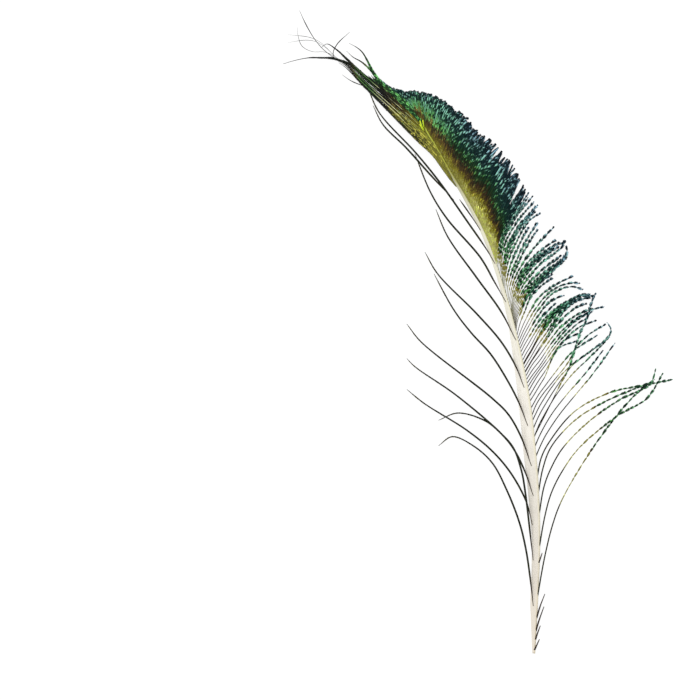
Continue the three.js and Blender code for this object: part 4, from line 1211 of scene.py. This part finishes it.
def tip_barb(line, lane, lanes, wide, place, ends, thick=1.0, bright=False):
    """A strand of the tip. Its place among the guides makes it one of the dark left pack, of the
    golden fan or of the emerald strand; how far it has come to the left sets its colours. Only
    a bright one's stalk is pale."""
    length = run_along(line)[-1]
    phase = GROWTH.random()
    turn = GROWTH.uniform(*TIP_TURN)
    shade = GROWTH.uniform(*SHADES) + STRIPE_DUSK * (lane % 2) + EDGE_DUSK * (place < DARK_EDGE)
    tone = GROWTH.uniform(*TONES)
    emerald, packed = smooth(place, *EMERALD_PLACE), smooth(place, *PACKED_PLACE)
    bare, swell = ends
    short = swell <= SHORT_END[1]

    def reach(run, share):
        """The width, less over the first stretch, and growing from the end over the two end
        lengths."""
        end = np.interp(length - run, [0, bare, bare + swell], [0, END_REACH, 1])
        grown = ROOT_REACH + (1 - ROOT_REACH) * smooth(run, *WHOLE_REACH)
        return wide * end * grown * GROWTH.uniform(*BARBULE_LENGTHS, len(run))

    def twist(run, share):
        """A slow sine along the strand."""
        return TIP_SWING * np.sin(2 * math.pi * (run / turn + phase))

    def values(run, share, turned):
        """The zones' hue, dusk, painted glint and age by how far it has come to the left, drawn towards
        olive in the pack and green in the emerald strands, and black at the free ends."""
        leftward = how_far_left(line, run)
        zones = (np.interp(leftward, TIP_ZONES[:, 0], zone) for zone in TIP_ZONES.T[1:])
        hue, dusk, glint, age = zones
        parted = smooth(leftward, *(PARTING - PACK_SOONER * packed))
        dusk = np.clip(dusk + shade * parted, 0, 1)
        hue = hue + tone * parted * (leftward < GOLD_END)
        hue = hue + (EMERALD_HUE - hue) * emerald
        hue = hue + (PACK_HUE - hue) * packed * (leftward < PACK_HUE_END)
        green, olive = emerald * (leftward < GLINT_END), packed * (leftward < PACK_END)
        dusk = dusk * (1 - GREEN_LIGHTER * green) + LEFT_PACK_DUSK * olive
        glint = glint + (GREEN_GLINT - glint) * green
        if turned is None:
            age = np.maximum(age, np.interp(length - run, BLACK_STALK, [1, 0]))
            age = age + (EMERALD_AGE - age) * emerald * (leftward < EMERALD_AGE_END)
            age = age if bright else np.maximum(age, at_place(leftward, DULL_AGES))
            pale = at_place(leftward, STALK_SHOWS)
            pale = pale * (1 - PACK_STALK_LESS * packed * bright * (leftward < PACK_STALK_END))
            return dict(hue=hue, glint=share * 0, stalk=pale, age=age, dusk=dusk * (1 - pale))
        glint = glint + (GREEN_GLINT - glint) * olive * (place > DARK_EDGE)
        glint = glint[:, None] * painted_glints(run, *TIP_PAINTED_GLINTS) * TIP_LIT_ROWS
        dusk = dusk[:, None] * smooth(glint, *TIP_UNLIT)
        if not short:
            black = np.interp(length - run, BLACK_BARBULES, [BLACKEST, 0])
            dusk = np.maximum(dusk, black[:, None])
        dusk = np.clip(dusk, 0, MOST_DUSK)
        rim = TIP_RIM_DUSK - GREEN_RIM_LIGHTER * green
        return dict(hue=hue, glint=glint, stalk=share * 0, age=share, dusk=dusk, rim=rim)

    def radius(run, share):
        """By how far it has come to the left; on the free strands, thick before a fine end."""
        near = at_place(how_far_left(line, run), NEAR_RADII)
        places = [0, bare, bare + THICKEST_PAST, bare + USUAL_PAST]
        end = np.interp(length - run, places, END_RADII)
        return np.where((length - run < bare + USUAL_PAST) & (not short), end, near) * thick

    return barb(line, lane, lanes, radius, reach, twist, LOOSE_BARBULE_SPACING, values)


def crown_barb(line, lane, lanes):
    """One short barb of the crown: its barbules are all of one reach and lie untwisted, and its
    stalk thins in step with the share."""
    def values(run, share, turned):
        """The first hue throughout, with a little dusk that goes towards the tip."""
        none = share * 0
        return dict(hue=none, glint=none, stalk=none, age=none, dusk=CROWN_DUSK * (1 - share))

    return barb(
        line, lane, lanes, lambda run, share: CROWN_RADIUS - CROWN_THINS * share,
        lambda run, share: run * 0 + CROWN_REACH, lambda run, share: run * 0,
        LOOSE_BARBULE_SPACING, values,
    )


tip_guides = np.array([course(guide, 2 * GUIDE_STEPS) for guide in TIP_GUIDES])
tip_barbs = []
lanes = len(TIP_STRANDS) + len(WISPS) + len(CROWN)
for lane, (root, tip_place, kept) in enumerate(TIP_STRANDS):
    share = np.linspace(0, 1, 2 * GUIDE_STEPS)
    lean = root + (tip_place - root) * smooth(share, *STRAND_LEANS)
    level = between(tip_guides, lean[None, :])[0]
    if root in TIP_RUN_ON:
        level = course(TIP_GUIDES[root] + TIP_RUN_ON[root], 3 * GUIDE_STEPS)
    end, lift = (np.interp(tip_place, np.arange(len(row)), row) for row in (TIP_ENDS, TIP_RISES))
    line = arched(level, root_height(level[:1])[0], end, lift)[: int(len(level) * kept)]
    longest = root == LONGEST_STRAND
    ends = LONGEST_END if longest else LONG_END if kept >= KEPT_WHOLE else SHORT_END
    tip_barbs.append(tip_barb(
        line, lane, lanes, TIP_REACH, root, ends, LONGEST_THICKNESS if longest else 1,
        root in BRIGHT_STRANDS,
    ))
for lane, (thick, start, end, lift, guide) in enumerate(WISPS, len(TIP_STRANDS)):
    line = arched(course(guide, GUIDE_STEPS), start, end, lift)
    tip_barbs.append(tip_barb(
        line, lane, lanes, WISP_REACH * thick, WISP_PLACE, LONG_END, thick,
    ))
for lane, guide in enumerate(CROWN, len(TIP_STRANDS) + len(WISPS)):
    level = course(guide, CROWN_STEPS)
    line = arched(level, root_height(level[:1])[0], CROWN_HEIGHT, CROWN_RISE)
    tip_barbs.append(crown_barb(line, lane, lanes))
join_barbs("tip", tip_barbs, barb_material("dark_green_tip", 0.4))


# The quill's stubs
# Broken barbs, dark brown and stiff, stand close along the right of the quill.
STUB_GUIDES = [
    [(1, 18), (3.5, 26), (6, 32.5)],
    [(0.8, 11.5), (2.8, 18), (5.5, 25.5)],
    [(0.6, 7), (2, 11), (3.5, 15)],
    [(0.2, 1.5), (1.6, 4.5), (3, 7.5)],
    [(2, 48), (3.5, 52), (4.5, 55)],
]
STUB_RISE, STUB_TIP_HEIGHT = 1.2, 1.4
STUB_SINK, STUB_STEPS = 0.2, 16
STUB_RADIUS, STUB_THINS, STUB_AGE = 0.6, 0.36, 0.68


def stub(guide, lane):
    """A bare stub that thins in step with the share, sunk a little, with no barbules."""
    level = course(guide, STUB_STEPS)
    line = arched(level, root_height(level[:1])[0], STUB_TIP_HEIGHT, STUB_RISE)
    line[:, 2] -= STUB_SINK

    def values(run, share, turned):
        """All stalk, of one brown."""
        none = share * 0
        return dict(hue=none, glint=none, stalk=none + 1, age=none + STUB_AGE, dusk=none)

    return barb(
        line, lane, len(STUB_GUIDES), lambda run, share: STUB_RADIUS - STUB_THINS * share,
        lambda run, share: run * 0, lambda run, share: run * 0, LEFT_BARBULE_SPACING, values,
    )


join_barbs(
    "quill_stubs", [stub(guide, i) for i, guide in enumerate(STUB_GUIDES)],
    barb_material("brown_stubs", 0.0),
)


# The place it is shown in
# A white floor under a broad, even light, and a camera straight above it.
LENS, SENSOR = 85, 36
FLOOR_SIZE = 4.0
LAMP_SIZE, LAMP_POWER = 0.8, 12
LAMP_OFFSET = (-0.7, 0.8, 1.3)

floor_mesh = bpy.data.meshes.new("floor")
edge = FLOOR_SIZE / 2
floor_mesh.from_pydata(
    [(-edge, -edge, 0), (edge, -edge, 0), (edge, edge, 0), (-edge, edge, 0)], [], [(0, 1, 2, 3)],
)
floor = bpy.data.objects.new("floor", floor_mesh)
bpy.context.scene.collection.objects.link(floor)
floor_material, _, floor_shader = new_material("white_floor")
floor_shader.inputs["Base Color"].default_value = (0.12, 0.12, 0.12, 1)
floor_shader.inputs["Roughness"].default_value = 0.9
floor_shader.inputs["Emission Color"].default_value = (1, 1, 1, 1)
floor_shader.inputs["Emission Strength"].default_value = 0.9
floor_shader.inputs["Specular IOR Level"].default_value = 0.1
floor_mesh.materials.append(floor_material)

world = bpy.data.worlds.new("studio")
world.use_nodes = True
world.node_tree.nodes["Background"].inputs["Color"].default_value = (1, 1, 1, 1)
world.node_tree.nodes["Background"].inputs["Strength"].default_value = 0.95
bpy.context.scene.world = world

middle = CUT_END + np.array([*VIEW_MIDDLE, 0]) * MM


def softbox(name, offset, power, size):
    """A square area lamp at an offset from the view's middle, aimed at it."""
    lamp = bpy.data.lights.new(name, "AREA")
    lamp.energy = power
    lamp.size = size
    holder = bpy.data.objects.new(name, lamp)
    bpy.context.scene.collection.objects.link(holder)
    holder.location = middle + np.array(offset)
    away = -np.array(offset) / np.linalg.norm(offset)
    holder.rotation_euler = Vector(away).to_track_quat("-Z", "Y").to_euler()


softbox("key_light", LAMP_OFFSET, LAMP_POWER, LAMP_SIZE)

camera_data = bpy.data.cameras.new("camera")
camera_data.lens = LENS
camera_data.sensor_width = SENSOR
camera = bpy.data.objects.new("camera", camera_data)
bpy.context.scene.collection.objects.link(camera)
camera.location = middle + np.array([0, 0, VIEW_DISTANCE * MM])
bpy.context.scene.camera = camera
bpy.context.scene.view_settings.view_transform = "Standard"
